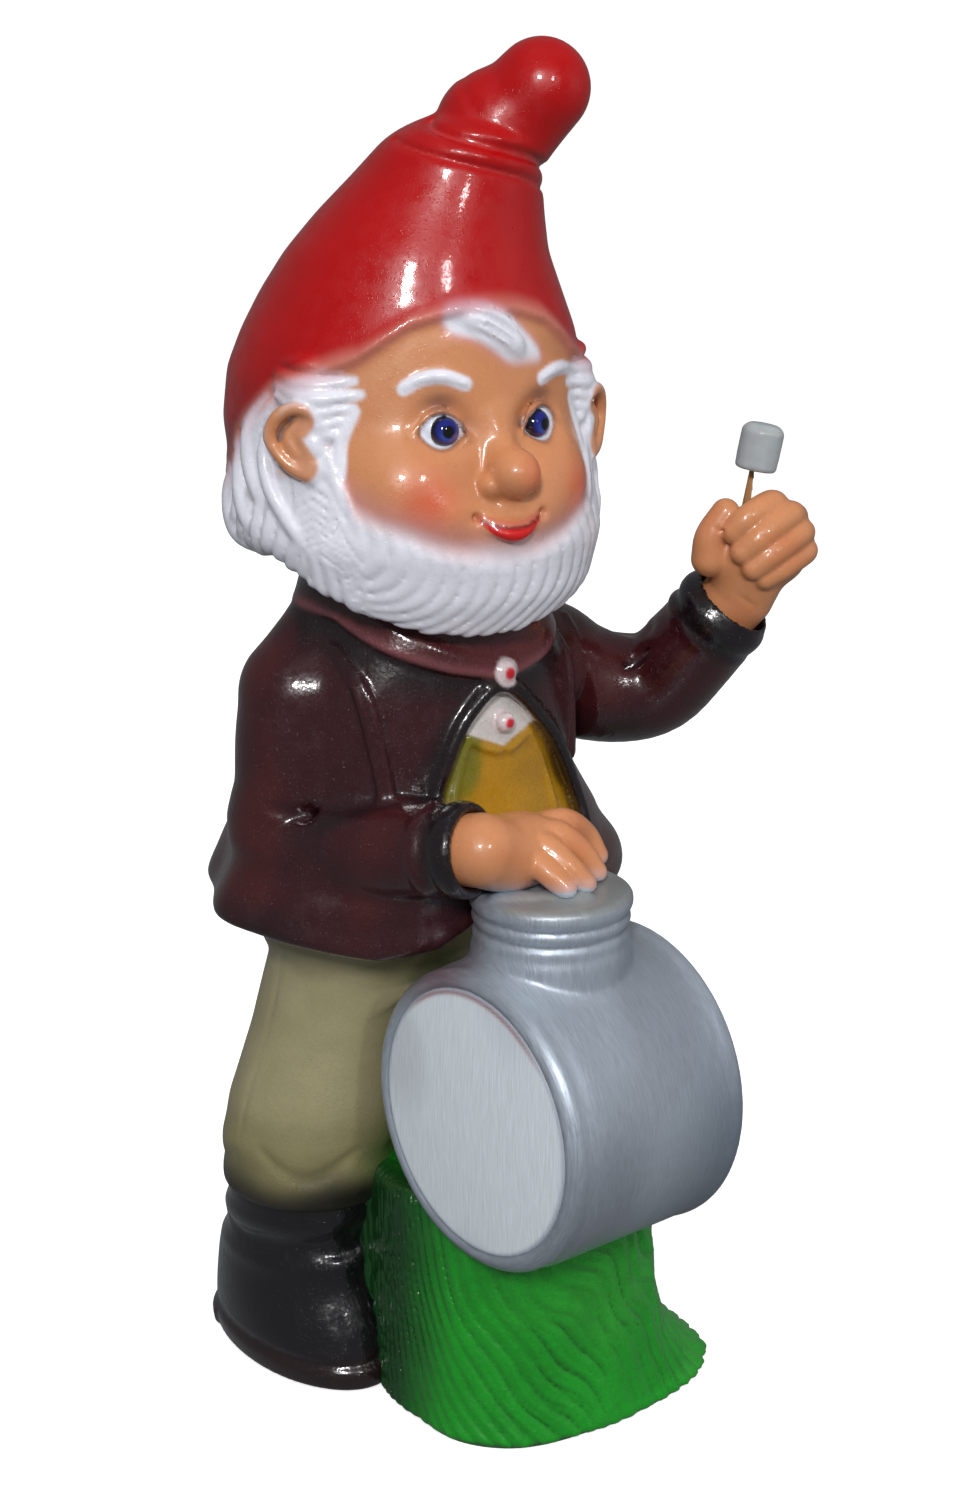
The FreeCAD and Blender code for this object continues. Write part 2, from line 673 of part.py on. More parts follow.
torso_shape = torso_shape.cut(cymbal_gap)
moulding("torso_shell", largest(torso_shape))

# ---------------------------------------------------------------- grass base, plate and bung
GRASS_FOOT = [
    (-24, 2), (-33, -40), (-32, -62), (-14, -86), (15, -96), (50, -99), (88, -93),
    (110, -76), (118, -45), (114, 0), (98, 45), (70, 85), (30, 100), (-10, 96), (-22, 50),
]  # fmt: skip
GRASS_CREST = [
    (-22, 5), (-27, -34), (-26, -58), (-12, -79), (15, -88), (42, -91), (62, -84),
    (71, -62), (74, -34), (74, 2), (68, 34), (54, 60), (26, 68), (-2, 66), (-16, 40),
]  # fmt: skip
GRASS_TOP = 108.0
GRASS_LEVELS = [(0, 0), (0.08, 0.28), (0.24, 0.6), (0.48, 0.82), (0.78, 0.95), (1.0, 1.0)]
GRASS_CENTRE = Vector(30, -5, 0)


def grass_section(level, morph, shrink, top_drop=0.0):
    """The mound's outline between its foot and its crest, drawn in by shrink."""
    points = []
    for foot, crest in zip(GRASS_FOOT, GRASS_CREST):
        arm = Vector(*foot, 0) * (1 - morph) + Vector(*crest, 0) * morph - GRASS_CENTRE
        inward = (arm.Length - shrink) / arm.Length
        points.append(GRASS_CENTRE + arm * inward + Z_AXIS * level * (GRASS_TOP - top_drop))
    curve = Part.BSplineCurve()
    curve.interpolate(Points=points, PeriodicFlag=True)
    return Part.Wire([curve.toShape()])


def grass_solid(shrink, top_drop):
    """The mound drawn in by shrink, its top lowered by top_drop."""
    wires = [grass_section(level, morph, shrink, top_drop) for level, morph in GRASS_LEVELS]
    return Part.makeLoft(wires, True, False)


def stand_space(gap):
    """Boots, trouser legs and drum, all grown by a gap, as the mound has to clear them."""
    pieces = [upright_loft(boot_stations(x), -gap) for x in LEG_XS.values()]
    pieces += [upright_loft(leg_stations(x), -gap) for x in LEG_XS.values()]
    return pieces + [drum_space(gap)]


grass_hollow = grass_solid(wall, wall)
for piece in stand_space(seat + wall):
    grass_hollow = grass_hollow.cut(piece)
grass_shape = grass_solid(0, 0)
for piece in stand_space(seat):
    grass_shape = grass_shape.cut(piece)
grass_shape = grass_shape.cut(grass_hollow)
moulding("grass_base", largest(grass_shape))

BUNG_PLACE = Vector(dim("bung_x"), dim("bung_y"), 0)
plate = Part.Face(grass_section(0, 0, wall + seat)).extrude(Z_AXIS * dim("plate_thick"))
inner_wall = grass_solid(wall + seat, wall)
plate = plate.common(inner_wall)
for x in LEG_XS.values():
    plate = plate.cut(upright_loft(boot_stations(x), -(wall + 2 * seat)))
bung_hole = Part.makeCylinder(dim("bung_radius") + dim("bung_slip"), 20, BUNG_PLACE - Z_AXIS * 5, Z_AXIS)
moulding("base_plate", largest(plate.cut(bung_hole)))

filler_plug = revolved_body(
    "filler_plug",
    [
        ("0", "0"),
        ("dims.bung_radius", "0"),
        ("dims.bung_radius", "dims.plate_thick - dims.bung_lift"),
        ("dims.bung_radius - 1", "dims.bung_length"),
        ("dims.bung_radius - dims.wall", "dims.bung_length"),
        ("dims.bung_radius - dims.wall", "dims.wall"),
        ("0", "dims.wall"),
    ],
)
place(filler_plug, "dims.bung_x", "dims.bung_y", "dims.bung_lift")

# ---------------------------------------------------------------- checks and export
NODES = [
    "torso_shell", "legs_shell", "right_boot", "left_boot", "grass_base", "base_plate",
    "right_arm_shell", "right_hand", "drum_shell", "drum_head_right", "drum_head_left",
    "lower_cymbal", "upper_cymbal", "left_arm_shell", "left_hand", "mallet_stick", "mallet_head",
    "head_shell", "right_eye", "left_eye", "right_eye_washer", "left_eye_washer", "filler_plug",
]  # fmt: skip

doc.recompute()
for obj in doc.Objects:
    if "Invalid" in obj.State or "Error" in obj.State:
        raise SystemExit(f"{obj.Name} is in state {obj.State}")
for node in NODES:
    shape = doc.getObjectsByLabel(node)[0].Shape
    if shape.isNull() or not shape.isValid() or not shape.Solids:
        raise SystemExit(f"{node} is not a valid solid")
    box = shape.optimalBoundingBox()
    print(
        f"{node:18s} solids {len(shape.Solids)} volume {shape.Volume / 1000:8.1f} cm3"
        f"  x {box.XMin:7.1f}..{box.XMax:6.1f}  y {box.YMin:7.1f}..{box.YMax:6.1f}"
        f"  z {box.ZMin:6.1f}..{box.ZMax:6.1f}"
    )
    shape.exportStep(f"parts/{node}.step")
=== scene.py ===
"""Looks of the garden gnome: every moulding is sculpted in a distance field and then sprayed.

Sculpting is done in millimetres in the part's own frame: +Z up, the gnome faces -Y, its left hand
is on +X. Meshes are made in metres. A colour attribute holds each piece's sprayed colours.
"""

import math

import bpy
import numpy as np
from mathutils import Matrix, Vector


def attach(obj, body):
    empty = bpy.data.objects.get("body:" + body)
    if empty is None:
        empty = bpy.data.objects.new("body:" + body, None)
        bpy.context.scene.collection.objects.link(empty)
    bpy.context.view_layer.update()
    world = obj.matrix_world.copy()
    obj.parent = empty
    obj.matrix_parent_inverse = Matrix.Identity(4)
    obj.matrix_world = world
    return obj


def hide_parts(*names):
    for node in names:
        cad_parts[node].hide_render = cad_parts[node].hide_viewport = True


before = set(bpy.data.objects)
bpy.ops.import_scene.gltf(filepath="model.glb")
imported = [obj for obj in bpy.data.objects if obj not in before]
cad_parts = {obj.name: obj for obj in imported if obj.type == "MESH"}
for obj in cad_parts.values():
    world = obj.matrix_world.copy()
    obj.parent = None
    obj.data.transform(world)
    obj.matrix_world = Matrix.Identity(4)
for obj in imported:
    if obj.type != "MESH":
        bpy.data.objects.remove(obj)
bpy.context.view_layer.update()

MM = 0.001
SIDES = ((-1, "right"), (1, "left"))  # the gnome's own sides, with the sign of x
FINE = 1.15  # sculpting step, mm
F32 = np.float32


# ------------------------------------------------------------------ colours and masks
def srgb(red, green, blue):
    """A linear colour from 0-255 display values."""
    values = np.array([red, green, blue]) / 255.0
    return np.where(values <= 0.04045, values / 12.92, ((values + 0.055) / 1.055) ** 2.4)


SKIN = srgb(206, 138, 94)
ROSY = srgb(214, 84, 56)
HAIR = srgb(228, 228, 238)
PINK = srgb(214, 150, 158)
HAT_RED = srgb(176, 2, 5)
# HAT_SHADE is the hat's red in painted shade.
HAT_SHADE = srgb(120, 10, 20)
JACKET = srgb(54, 15, 20)
BLACK = srgb(14, 12, 16)
COLLAR = srgb(86, 30, 32)
LIP = srgb(206, 22, 20)
OCHRE = srgb(176, 128, 22)
OLIVE = srgb(112, 112, 26)
SHIRT = srgb(214, 208, 204)
TROUSER = srgb(168, 160, 122)
GREEN = srgb(24, 150, 34)
DARK_GREEN = srgb(16, 66, 24)
SILVER = srgb(178, 188, 200)


def ramp(value, low, high):
    """0 below low, 1 above high, smooth between; low may be the larger."""
    t = np.clip((value - low) / (high - low), 0, 1)
    return t * t * (3 - 2 * t)


def hump(value, centre, width):
    """A soft bump of height 1 round a centre."""
    return np.exp(-(((value - centre) / width) ** 2))


def wobble(x, y, z, scale, seed):
    """Smooth repeatable noise from -1 to 1 with features about scale mm wide."""
    rng = np.random.default_rng(seed)
    total = 0.0
    for _ in range(5):
        way = rng.normal(size=3)
        way *= 2.2 / (np.linalg.norm(way) * scale)
        total = total + np.sin(way[0] * x + way[1] * y + way[2] * z + rng.uniform(0, 6.28))
    return total / 3.2


def unit(way):
    """A direction made one long."""
    way = np.array(way, float)
    return way / np.linalg.norm(way)


def past(x, y, z, origin, way):
    """How far points lie beyond an origin along a unit direction, mm."""
    return (x - origin[0]) * way[0] + (y - origin[1]) * way[1] + (z - origin[2]) * way[2]


def away_from(x, y, z, spot):
    """Distance of points from a spot, mm."""
    return np.sqrt((x - spot[0]) ** 2 + (y - spot[1]) ** 2 + (z - spot[2]) ** 2)


# ------------------------------------------------------------------ distance-field shapes
class Shape:
    """A distance function with the box in which it matters."""

    def __init__(self, distance, low, high):
        self.distance, self.low, self.high = distance, np.array(low, float), np.array(high, float)


def curve(points, count):
    """Evenly spread points on a smooth line through the given ones."""
    p = np.array(points, float)
    ends = np.vstack([2 * p[0] - p[1], p, 2 * p[-1] - p[-2]])
    out = []
    for s in np.linspace(0, len(p) - 1 - 1e-6, count):
        i = int(s)
        t = s - i
        a, b, c, d = ends[i], ends[i + 1], ends[i + 2], ends[i + 3]
        out.append(b + 0.5 * t * (c - a + t * (2 * a - 5 * b + 4 * c - d + t * (3 * (b - c) + d - a))))
    return np.array(out)


def tube(points, radii, count=0):
    """A round tapered bar along points; count > 0 smooths the path first."""
    data = np.column_stack([np.array(points, float), np.broadcast_to(radii, len(points))])
    if count:
        data = curve(data, count)
    places, radius = data[:, :3], data[:, 3]

    def distance(x, y, z):
        best = None
        for a, b, ra, rb in zip(places, places[1:], radius, radius[1:]):
            way = b - a
            t = past(x, y, z, a, way) / max(way @ way, 1e-9)
            t = np.clip(t, 0, 1)
            gap = (x - a[0] - t * way[0]) ** 2 + (y - a[1] - t * way[1]) ** 2
            gap = np.sqrt(gap + (z - a[2] - t * way[2]) ** 2) - (ra + t * (rb - ra))
            best = gap if best is None else np.minimum(best, gap)
        return best

    grow = radius[:, None]
    return Shape(distance, (places - grow).min(0), (places + grow).max(0))


def egg(centre, radii):
    """An ellipsoid with its axes along X, Y and Z."""
    c, r = np.array(centre, float), np.array(radii, float)

    def distance(x, y, z):
        scaled = [(place - middle) / radius for place, middle, radius in zip((x, y, z), c, r)]
        near = np.sqrt(sum(s**2 for s in scaled))
        far = np.sqrt(sum((s / radius) ** 2 for s, radius in zip(scaled, r)))
        return near * (near - 1) / np.maximum(far, 1e-6)

    return Shape(distance, c - r.max(), c + r.max())


def disc(centre, axis, radius, half, soft):
    """A short cylinder with rounded edges."""
    c, way = np.array(centre, float), unit(axis)

    def distance(x, y, z):
        s = past(x, y, z, c, way)
        across = np.sqrt(np.maximum((x - c[0]) ** 2 + (y - c[1]) ** 2 + (z - c[2]) ** 2 - s**2, 0))
        p, q = across - radius + soft, np.abs(s) - half + soft
        outer = np.sqrt(np.maximum(p, 0) ** 2 + np.maximum(q, 0) ** 2)
        return outer + np.minimum(np.maximum(p, q), 0) - soft

    reach = math.hypot(radius, half)
    return Shape(distance, c - reach, c + reach)


def smooth_min(a, b, blend):
    """The nearer of two fields with a fillet of about the blend's size."""
    if blend <= 0:
        return np.minimum(a, b)
    h = np.maximum(blend - np.abs(a - b), 0) / blend
    return np.minimum(a, b) - h * h * blend * 0.25


class Stack:
    """A skin through ovals (x, y, z, half width, half depth), smooth in height."""

    def __init__(self, ovals):
        self.table = np.array(ovals, float)
        self.levels = np.linspace(self.table[0, 2], self.table[-1, 2], 400)
        self.smooth = [self._soften(self.table[:, k]) for k in (0, 1, 3, 4)]

    def _soften(self, values):
        """Linear steps rounded off over a few millimetres."""
        raw = np.interp(self.levels, self.table[:, 2], values)
        width = max(3, int(7.0 / (self.levels[1] - self.levels[0])))
        padded = np.pad(raw, width, mode="reflect", reflect_type="odd")
        window = np.hanning(2 * width + 1)
        return np.convolve(padded, window / window.sum(), mode="valid")

    def oval(self, z):
        """Centre and half sizes at a height."""
        return [np.interp(z, self.levels, row) for row in self.smooth]

    def around(self, x, y, z):
        """Degrees round the skin from the front, growing towards +X."""
        cx, cy, a, b = self.oval(z)
        return np.degrees(np.arctan2((x - cx) / a, -(y - cy) / b))

    def field(self, x, y, z):
        """Signed distance, good near the skin."""
        cx, cy, a, b = self.oval(z)
        near = np.sqrt(((x - cx) / a) ** 2 + ((y - cy) / b) ** 2)
        far = np.sqrt(((x - cx) / a**2) ** 2 + ((y - cy) / b**2) ** 2)
        return np.maximum(near * (near - 1) / np.maximum(far, 1e-4), z - self.table[-1, 2])

    def at(self, degrees, z, lift=0.0):
        """A point on the skin, or lifted off it."""
        cx, cy, a, b = self.oval(z)
        turn = math.radians(degrees)
        side, front = math.sin(turn), -math.cos(turn)
        out = unit([side / a, front / b])
        return np.array([cx + a * side + out[0] * lift, cy + b * front + out[1] * lift, z])


# ------------------------------------------------------------------ the sculpting block
class Clay:
    """A block of space, sampled every step mm, that shapes are added to and carved from."""

    def __init__(self, low, high, step=FINE):
        self.step = step
        self.axes = [np.arange(l, h + step, step, dtype=F32) for l, h in zip(low, high)]
        self.field = np.full([len(axis) for axis in self.axes], 30, F32)

    def window(self, low, high):
        """The part of the block between two corners: slices and coordinate grids."""
        cuts = []
        for axis, l, h in zip(self.axes, low, high):
            start = int(np.clip((l - axis[0]) / self.step, 0, len(axis) - 1))
            stop = int(np.clip((h - axis[0]) / self.step + 2, start + 1, len(axis)))
            cuts.append(slice(start, stop))
        x, y, z = (axis[cut] for axis, cut in zip(self.axes, cuts))
        return tuple(cuts), x[:, None, None], y[None, :, None], z[None, None, :]

    def whole(self):
        """Coordinate grids of the whole block."""
        return self.window([axis[0] for axis in self.axes], [axis[-1] for axis in self.axes])[1:]

    def add(self, shape, blend=0.0):
        """Adds a shape with a fillet."""
        reach = 4 + blend
        cuts, x, y, z = self.window(shape.low - reach, shape.high + reach)
        self.field[cuts] = smooth_min(self.field[cuts], shape.distance(x, y, z).astype(F32), blend)

    def carve(self, shape, blend=0.0):
        """Takes a shape away with a rounded edge."""
        reach = 4 + blend
        cuts, x, y, z = self.window(shape.low - reach, shape.high + reach)
        away = shape.distance(x, y, z).astype(F32)
        self.field[cuts] = -smooth_min(-self.field[cuts], away, blend)

    def skin(self):
        """The zero surface as points and quads, by surface nets."""
        field, step = self.field, self.step
        inside = field < 0
        corners = [(i, j, k) for i in (0, 1) for j in (0, 1) for k in (0, 1)]
        size = [n - 1 for n in field.shape]

        def cells(array, i, j, k):
            return array[i : i + size[0], j : j + size[1], k : k + size[2]]

        count = sum(cells(inside, *c).astype(np.int8) for c in corners)
        active = np.nonzero((count > 0) & (count < 8))
        value = {c: field[active[0] + c[0], active[1] + c[1], active[2] + c[2]] for c in corners}
        total = np.zeros((len(active[0]), 3))
        hits = np.zeros(len(active[0]))
        for a in corners:
            for axis in range(3):
                if a[axis]:
                    continue
                b = tuple(a[k] + (k == axis) for k in range(3))
                cross = (value[a] < 0) != (value[b] < 0)
                gap = np.where(cross, value[a] - value[b], 1)
                t = np.clip(value[a] / gap, 0, 1)
                for k in range(3):
                    total[:, k] += cross * (a[k] + (t if k == axis else 0))
                hits += cross
        places = total / hits[:, None]
        index = np.full(size, -1, np.int64)
        index[active] = np.arange(len(hits))
        for k in range(3):
            places[:, k] = self.axes[k][0] + (places[:, k] + active[k]) * step
        quads = []
        for axis in range(3):
            one, two = (axis + 1) % 3, (axis + 2) % 3
            low = [slice(1, -1)] * 3
            low[axis] = slice(0, -1)
            high = list(low)
            high[axis] = slice(1, None)
            a, b = inside[tuple(low)], inside[tuple(high)]
            for flip, mask in ((False, a & ~b), (True, ~a & b)):
                spot = np.array(np.nonzero(mask))
                for k in range(3):
                    spot[k] += 1 if k != axis else 0
                ring = []
                for du, dv in ((0, 0), (-1, 0), (-1, -1), (0, -1)):
                    cell = spot.copy()
                    cell[one] += du
                    cell[two] += dv
                    ring.append(index[tuple(cell)])
                quads.append(np.stack(ring[::-1] if flip else ring, -1))
        return places, np.vstack(quads)


def neighbour_mean(places, quads):
    """Each point's mean over its edge neighbours."""
    ends = np.vstack([quads[:, [k, (k + 1) % 4]] for k in range(4)])
    total = np.zeros_like(places)
    for k in range(places.shape[1]):
        total[:, k] = np.bincount(ends[:, 0], places[ends[:, 1], k], len(places))
        total[:, k] += np.bincount(ends[:, 1], places[ends[:, 0], k], len(places))
    count = np.bincount(ends.ravel(), minlength=len(places))
    return total / np.maximum(count, 1)[:, None]


def normals_of(places, quads):
    """Unit normals at the points."""
    one = places[quads[:, 2]] - places[quads[:, 0]]
    two = places[quads[:, 3]] - places[quads[:, 1]]
    face = np.cross(one, two)
    total = np.zeros_like(places)
    for k in range(3):
        for corner in range(4):
            total[:, k] += np.bincount(quads[:, corner], face[:, k], len(places))
    return total / np.maximum(np.linalg.norm(total, axis=1), 1e-12)[:, None]


def hollows(places, quads, normals):
    """How deep each point lies below its surroundings, mm: positive in grooves."""
    mean = places
    for _ in range(5):
        mean = neighbour_mean(mean, quads)
    return ((mean - places) * normals).sum(1)


def make_piece(name, places, quads, paint, material, turn=None):
    """A Blender mesh in metres with its sprayed colours; turn = (centre, degrees) about Z."""
    if turn is not None:
        (cx, cy), degrees = turn
        c, s = math.cos(math.radians(degrees)), math.sin(math.radians(degrees))
        x, y = places[:, 0] - cx, places[:, 1] - cy
        places = np.column_stack([cx + c * x - s * y, cy + s * x + c * y, places[:, 2]])
    mesh = bpy.data.meshes.new(name)
    mesh.vertices.add(len(places))
    mesh.vertices.foreach_set("co", (places * MM).astype(F32).ravel())
    mesh.loops.add(quads.size)
    mesh.loops.foreach_set("vertex_index", quads.astype(np.int32).ravel())
    mesh.polygons.add(len(quads))
    mesh.polygons.foreach_set("loop_start", np.arange(0, quads.size, 4, dtype=np.int32))
    mesh.polygons.foreach_set("use_smooth", np.ones(len(quads), bool))
    mesh.update(calc_edges=True)
    mesh.validate()
    colours = mesh.color_attributes.new("paint", "FLOAT_COLOR", "POINT")
    rgba = np.column_stack([np.clip(paint, 0, 1), np.ones(len(places))]).astype(F32)
    colours.data.foreach_set("color", rgba.ravel())
    mesh.materials.append(material)
    piece = bpy.data.objects.new(name, mesh)
    bpy.context.scene.collection.objects.link(piece)
    return piece


def sculpt(name, clay, spray, material, body, nodes, turn=None, relax=2):
    """Skins a block, sprays it, and puts the piece on its body in place of the CAD nodes."""
    places, quads = clay.skin()
    for _ in range(relax):
        places = places * 0.5 + neighbour_mean(places, quads) * 0.5
    depth = hollows(places, quads, normals_of(places, quads))
    paint = spray(*places.T, depth)
    piece = make_piece(name, places, quads, paint, material, turn)
    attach(piece, body)
    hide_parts(*nodes)


def tint(base, colour, amount):
    """Sprays a colour over another by an amount from 0 to 1 at each point."""
    amount = np.clip(amount, 0, 1)[:, None]
    return base * (1 - amount) + colour * amount


def coat_of(colour, like):
    """One colour for every point."""
    return np.tile(colour, (len(like), 1))


# ------------------------------------------------------------------ materials
class Nodes:
    """A node material under construction."""

    def __init__(self, name):
        self.material = bpy.data.materials.new(name)
        self.material.use_nodes = True
        self.tree = self.material.node_tree
        self.shader = self.tree.nodes["Principled BSDF"]
        self.place = self.add("ShaderNodeTexCoord").outputs["Object"]

    def add(self, kind, **settings):
        """A node with its settings."""
        node = self.tree.nodes.new(kind)
        for key, value in settings.items():
            setattr(node, key, value)
        return node

    def link(self, source, target):
        self.tree.links.new(source, target)

    def noise(self, scale, detail=3.0, stretch=(1, 1, 1), rough=0.5):
        """Noise in object space, scale in features per metre."""
        mapping = self.add("ShaderNodeMapping")
        mapping.inputs["Scale"].default_value = stretch
        self.link(self.place, mapping.inputs["Vector"])
        node = self.add("ShaderNodeTexNoise")
        node.inputs["Scale"].default_value = scale
        node.inputs["Detail"].default_value = detail
        node.inputs["Roughness"].default_value = rough
        self.link(mapping.outputs["Vector"], node.inputs["Vector"])
        return node.outputs["Fac"]

    def range(self, source, low, high, to_low, to_high):
        """A value moved from one range to another."""
        node = self.add("ShaderNodeMapRange")
        for key, value in zip(("From Min", "From Max", "To Min", "To Max"), (low, high, to_low, to_high)):
            node.inputs[key].default_value = value
        self.link(source, node.inputs["Value"])
        return node.outputs["Result"]

    def bump(self, height, depth_mm, below=None):
        """A bump of a depth in mm, over another bump's normal."""
        node = self.add("ShaderNodeBump")
        node.inputs["Strength"].default_value = 1.0
        node.inputs["Distance"].default_value = depth_mm * MM
        self.link(height, node.inputs["Height"])
        if below is not None:
            self.link(below, node.inputs["Normal"])
        return node.outputs["Normal"]

    def shade(self, colour, value):
        """A colour made darker or lighter by a value round 1."""
        node = self.add("ShaderNodeVectorMath", operation="SCALE")
        self.link(colour, node.inputs[0])
        self.link(value, node.inputs["Scale"])
        return node.outputs["Vector"]

    def sprayed(self):
        """The colour attribute."""
        return self.add("ShaderNodeVertexColor", layer_name="paint").outputs["Color"]

    def set(self, **values):
        """Values straight on the shader's own sockets."""
        for key, value in values.items():
            self.shader.inputs[key.replace("_", " ")].default_value = value


def sprayed_gloss(name, rough, coat, peel_mm, peel_scale, mottle):
    """Glossy sprayed paint over soft vinyl: mottled colour, orange peel, uneven shine."""
    m = Nodes(name)
    cloud = m.range(m.noise(60, 4), 0.3, 0.7, 1 - mottle, 1 + mottle)
    speck = m.range(m.noise(700, 2), 0.3, 0.7, 1 - mottle * 0.6, 1 + mottle * 0.6)
    m.link(m.shade(m.shade(m.sprayed(), cloud), speck), m.shader.inputs["Base Color"])
    m.link(m.range(m.noise(150, 3), 0.35, 0.65, rough * 0.8, rough * 1.35), m.shader.inputs["Roughness"])
    ripple = m.bump(m.noise(peel_scale, 3), peel_mm)
    dimple = m.bump(m.range(m.noise(peel_scale * 2.6, 1), 0.6, 0.75, 0, 1), peel_mm * 0.8, ripple)
    m.link(dimple, m.shader.inputs["Normal"])
    m.link(ripple, m.shader.inputs["Coat Normal"])
    m.set(Coat_Weight=coat, Coat_Roughness=0.09, IOR=1.5)
    return m.material


def grained(name, noise, tone, shine, raised_mm=0.0, peel=None, **values):
    """One noise tones the sprayed colour, varies its shine and raises it; peel adds finer pores."""
    m = Nodes(name)
    grain = m.noise(*noise)
    m.link(m.shade(m.sprayed(), m.range(grain, 0.3, 0.7, *tone)), m.shader.inputs["Base Color"])
    m.link(m.range(grain, 0.3, 0.7, *shine), m.shader.inputs["Roughness"])
    normal = m.bump(grain, raised_mm) if raised_mm else None
    if peel:
        *pores, peel_mm = peel
        normal = m.bump(m.noise(*pores), peel_mm, normal)
    m.link(normal, m.shader.inputs["Normal"])
    m.set(**values)
    return m.material


skin_paint = sprayed_gloss("skin_and_hair_gloss", 0.34, 0.38, 0.07, 420, 0.04)
jacket_paint = sprayed_gloss("jacket_gloss", 0.26, 0.8, 0.16, 520, 0.10)
trouser_paint = sprayed_gloss("trouser_satin", 0.42, 0.25, 0.12, 380, 0.06)
boot_paint = sprayed_gloss("boot_gloss", 0.20, 0.9, 0.22, 330, 0.15)
grass_paint = sprayed_gloss("grass_gloss", 0.30, 0.5, 0.16, 380, 0.12)

# ------------------------------------------------------------------ head, hat, hair and beard
HEAD_YAW = -11.0
NECK = (0.0, -5.0)
COLLAR_ROOM_RADIUS, COLLAR_ROOM_HEIGHT = 53.5, 368.0  # space under the head, in which the collar stands
head = Stack([
    (-2, -8, 338, 34, 36), (-2, -9, 350, 48, 50), (-2, -9, 362, 58, 58), (-2, -10, 374, 66, 64),
    (-3, -8, 395, 73, 71), (-4, -3, 420, 72, 71), (-5, 1, 440, 72, 71), (-4.5, 1, 460, 70, 70),
    (-4.2, -2, 475, 65.4, 66), (-4.3, -5, 490, 58.6, 59.2), (-4.2, -10, 506, 50.4, 51),
    (0, -14, 521, 43, 43.6), (4.7, -20, 536, 34.8, 35.8), (8, -24, 544, 32, 33),
    (9.5, -26, 550, 28.5, 29.5), (11, -28, 556, 20, 20), (12, -30, 561, 6, 6),
])  # fmt: skip
# Heights of the hat's edge and of the beard's upper edge, as (degrees from the front, height).
RIM = np.array([
    (0, 486), (14, 484), (27, 480), (35, 474), (43, 467), (55, 461), (70, 455), (85, 441),
    (98, 424), (120, 417), (181, 413),
])  # fmt: skip
BEARD_TOP = np.array([
    (0, 394), (12, 396), (24, 401), (36, 408), (44, 414), (48, 428), (52, 447), (58, 456), (181, 456),
])  # fmt: skip


def rim_height(angle):
    """Height of the hat's edge at an angle from the front."""
    return np.interp(np.abs(angle), RIM[:, 0], RIM[:, 1])


def beard_height(angle):
    """Height of the beard's upper edge at an angle from the front."""
    return np.interp(np.abs(angle), BEARD_TOP[:, 0], BEARD_TOP[:, 1])


def ridges(phase, sharpness):
    """Rounded strands side by side: 1 on the strand, 0 in the groove, one strand per unit."""
    return np.abs(np.sin(np.pi * phase)) ** sharpness


def strand_phase(angle, z, x, y):
    """The beard's and nape's flow: strands fall, then sweep outward; one strand per unit."""
    away = np.abs(angle)
    fall = np.clip((beard_height(angle) + 4 - z) / 52, 0, 1.25)
    sweep = 30 * ramp(angle, 40, -10) - 6 * ramp(angle, 20, 50)
    swept = angle - 6 + sweep * fall**2.2 - 7 * np.sin(fall * 3.1)
    nape = away + 6 * np.sin((z - 380) / 12.0) + 0.35 * (z - 400)
    flow = np.where(away < 64, swept, nape)
    return flow / 5.6 + 0.34 * wobble(x, y, z, 20, 3)


def head_clay():
    """The whole head in its own frame, facing -Y."""
    clay = Clay((-92, -104, 338), (92, 84, 594))
    x, y, z = clay.whole()
    field = head.field(x, y, z)
    angle = head.around(x, y, z)
    rim, top = rim_height(angle), beard_height(angle)
    hat = ramp(z, rim - 1.5, rim + 2.5)
    lip = hump(z, rim + 2.5, 4.0)
    beard = ramp(z, top + 2, top - 7) * (1 - hat)
    phase = strand_phase(angle, z, x, y)
    strands = ridges(phase, 0.3) - 1
    fine = ridges(phase * 2 + 0.3, 0.5) - 1
    nape = ramp(np.abs(angle), 66, 84) * (1 - hat)
    roll = nape * (3.2 * hump(z, 403, 12) + 0.5)
    push = 2.2 * hat + 1.2 * lip + beard * (3.0 + 2.0 * strands + 0.3 * fine) + roll
    push += nape * (1.9 * strands + 0.4 * fine)
    field = field - push
    scallop = 1.6 * (1 - ridges(phase, 0.6)) + 0.8 * np.sin(np.floor(phase) * 2.4)
    under = np.minimum(350.5 + 0.72 * (y + 76), 389) + scallop
    field = -smooth_min(-field, (z - under) * 0.8, 5.0)
    clay.field[:] = field
    clay.carve(disc((*NECK, COLLAR_ROOM_HEIGHT), (0, 0, 1), COLLAR_ROOM_RADIUS, 20.5, 2), 1.0)
    add_hat_tip(clay)
    for side in (-1, 1):
        add_cheek(clay, side)
        add_ear(clay, side)
        add_side_hair(clay, side)
        add_eye_lids(clay, side)
    add_nose_and_mouth(clay)
    add_brows(clay)
    add_curl(clay)
    return clay


EAR_TURN, EAR_HEIGHT, EAR_SIZE = 60.0, 436.5, 0.70  # degrees, mm, scale


def on_head(points, lift=0.0, side=1):
    """Points on the head's skin from (degrees, height) or (degrees, height, lift)."""
    return [head.at(side * p[0], p[1], (p[2] if len(p) > 2 else 0) + lift) for p in points]


def add_hat_tip(clay):
    """The folded-over knob and the wrinkles under it."""
    clay.add(tube([(19, -32, 552), (26.5, -39.5, 560), (32, -46, 568)], [23.5, 20.3, 19.2], 10), 2.5)
    for drop, deep in ((0, 1.9), (8, 0.4)):
        line = [head.at(a, 545.5 - 0.125 * a - drop, 1.0) for a in range(-90, 105, 15)]
        radii = [deep * (1 - 0.7 * float(ramp(a, 0, 90))) for a in range(-90, 105, 15)]
        clay.carve(tube(line, radii, 30), 3.5)


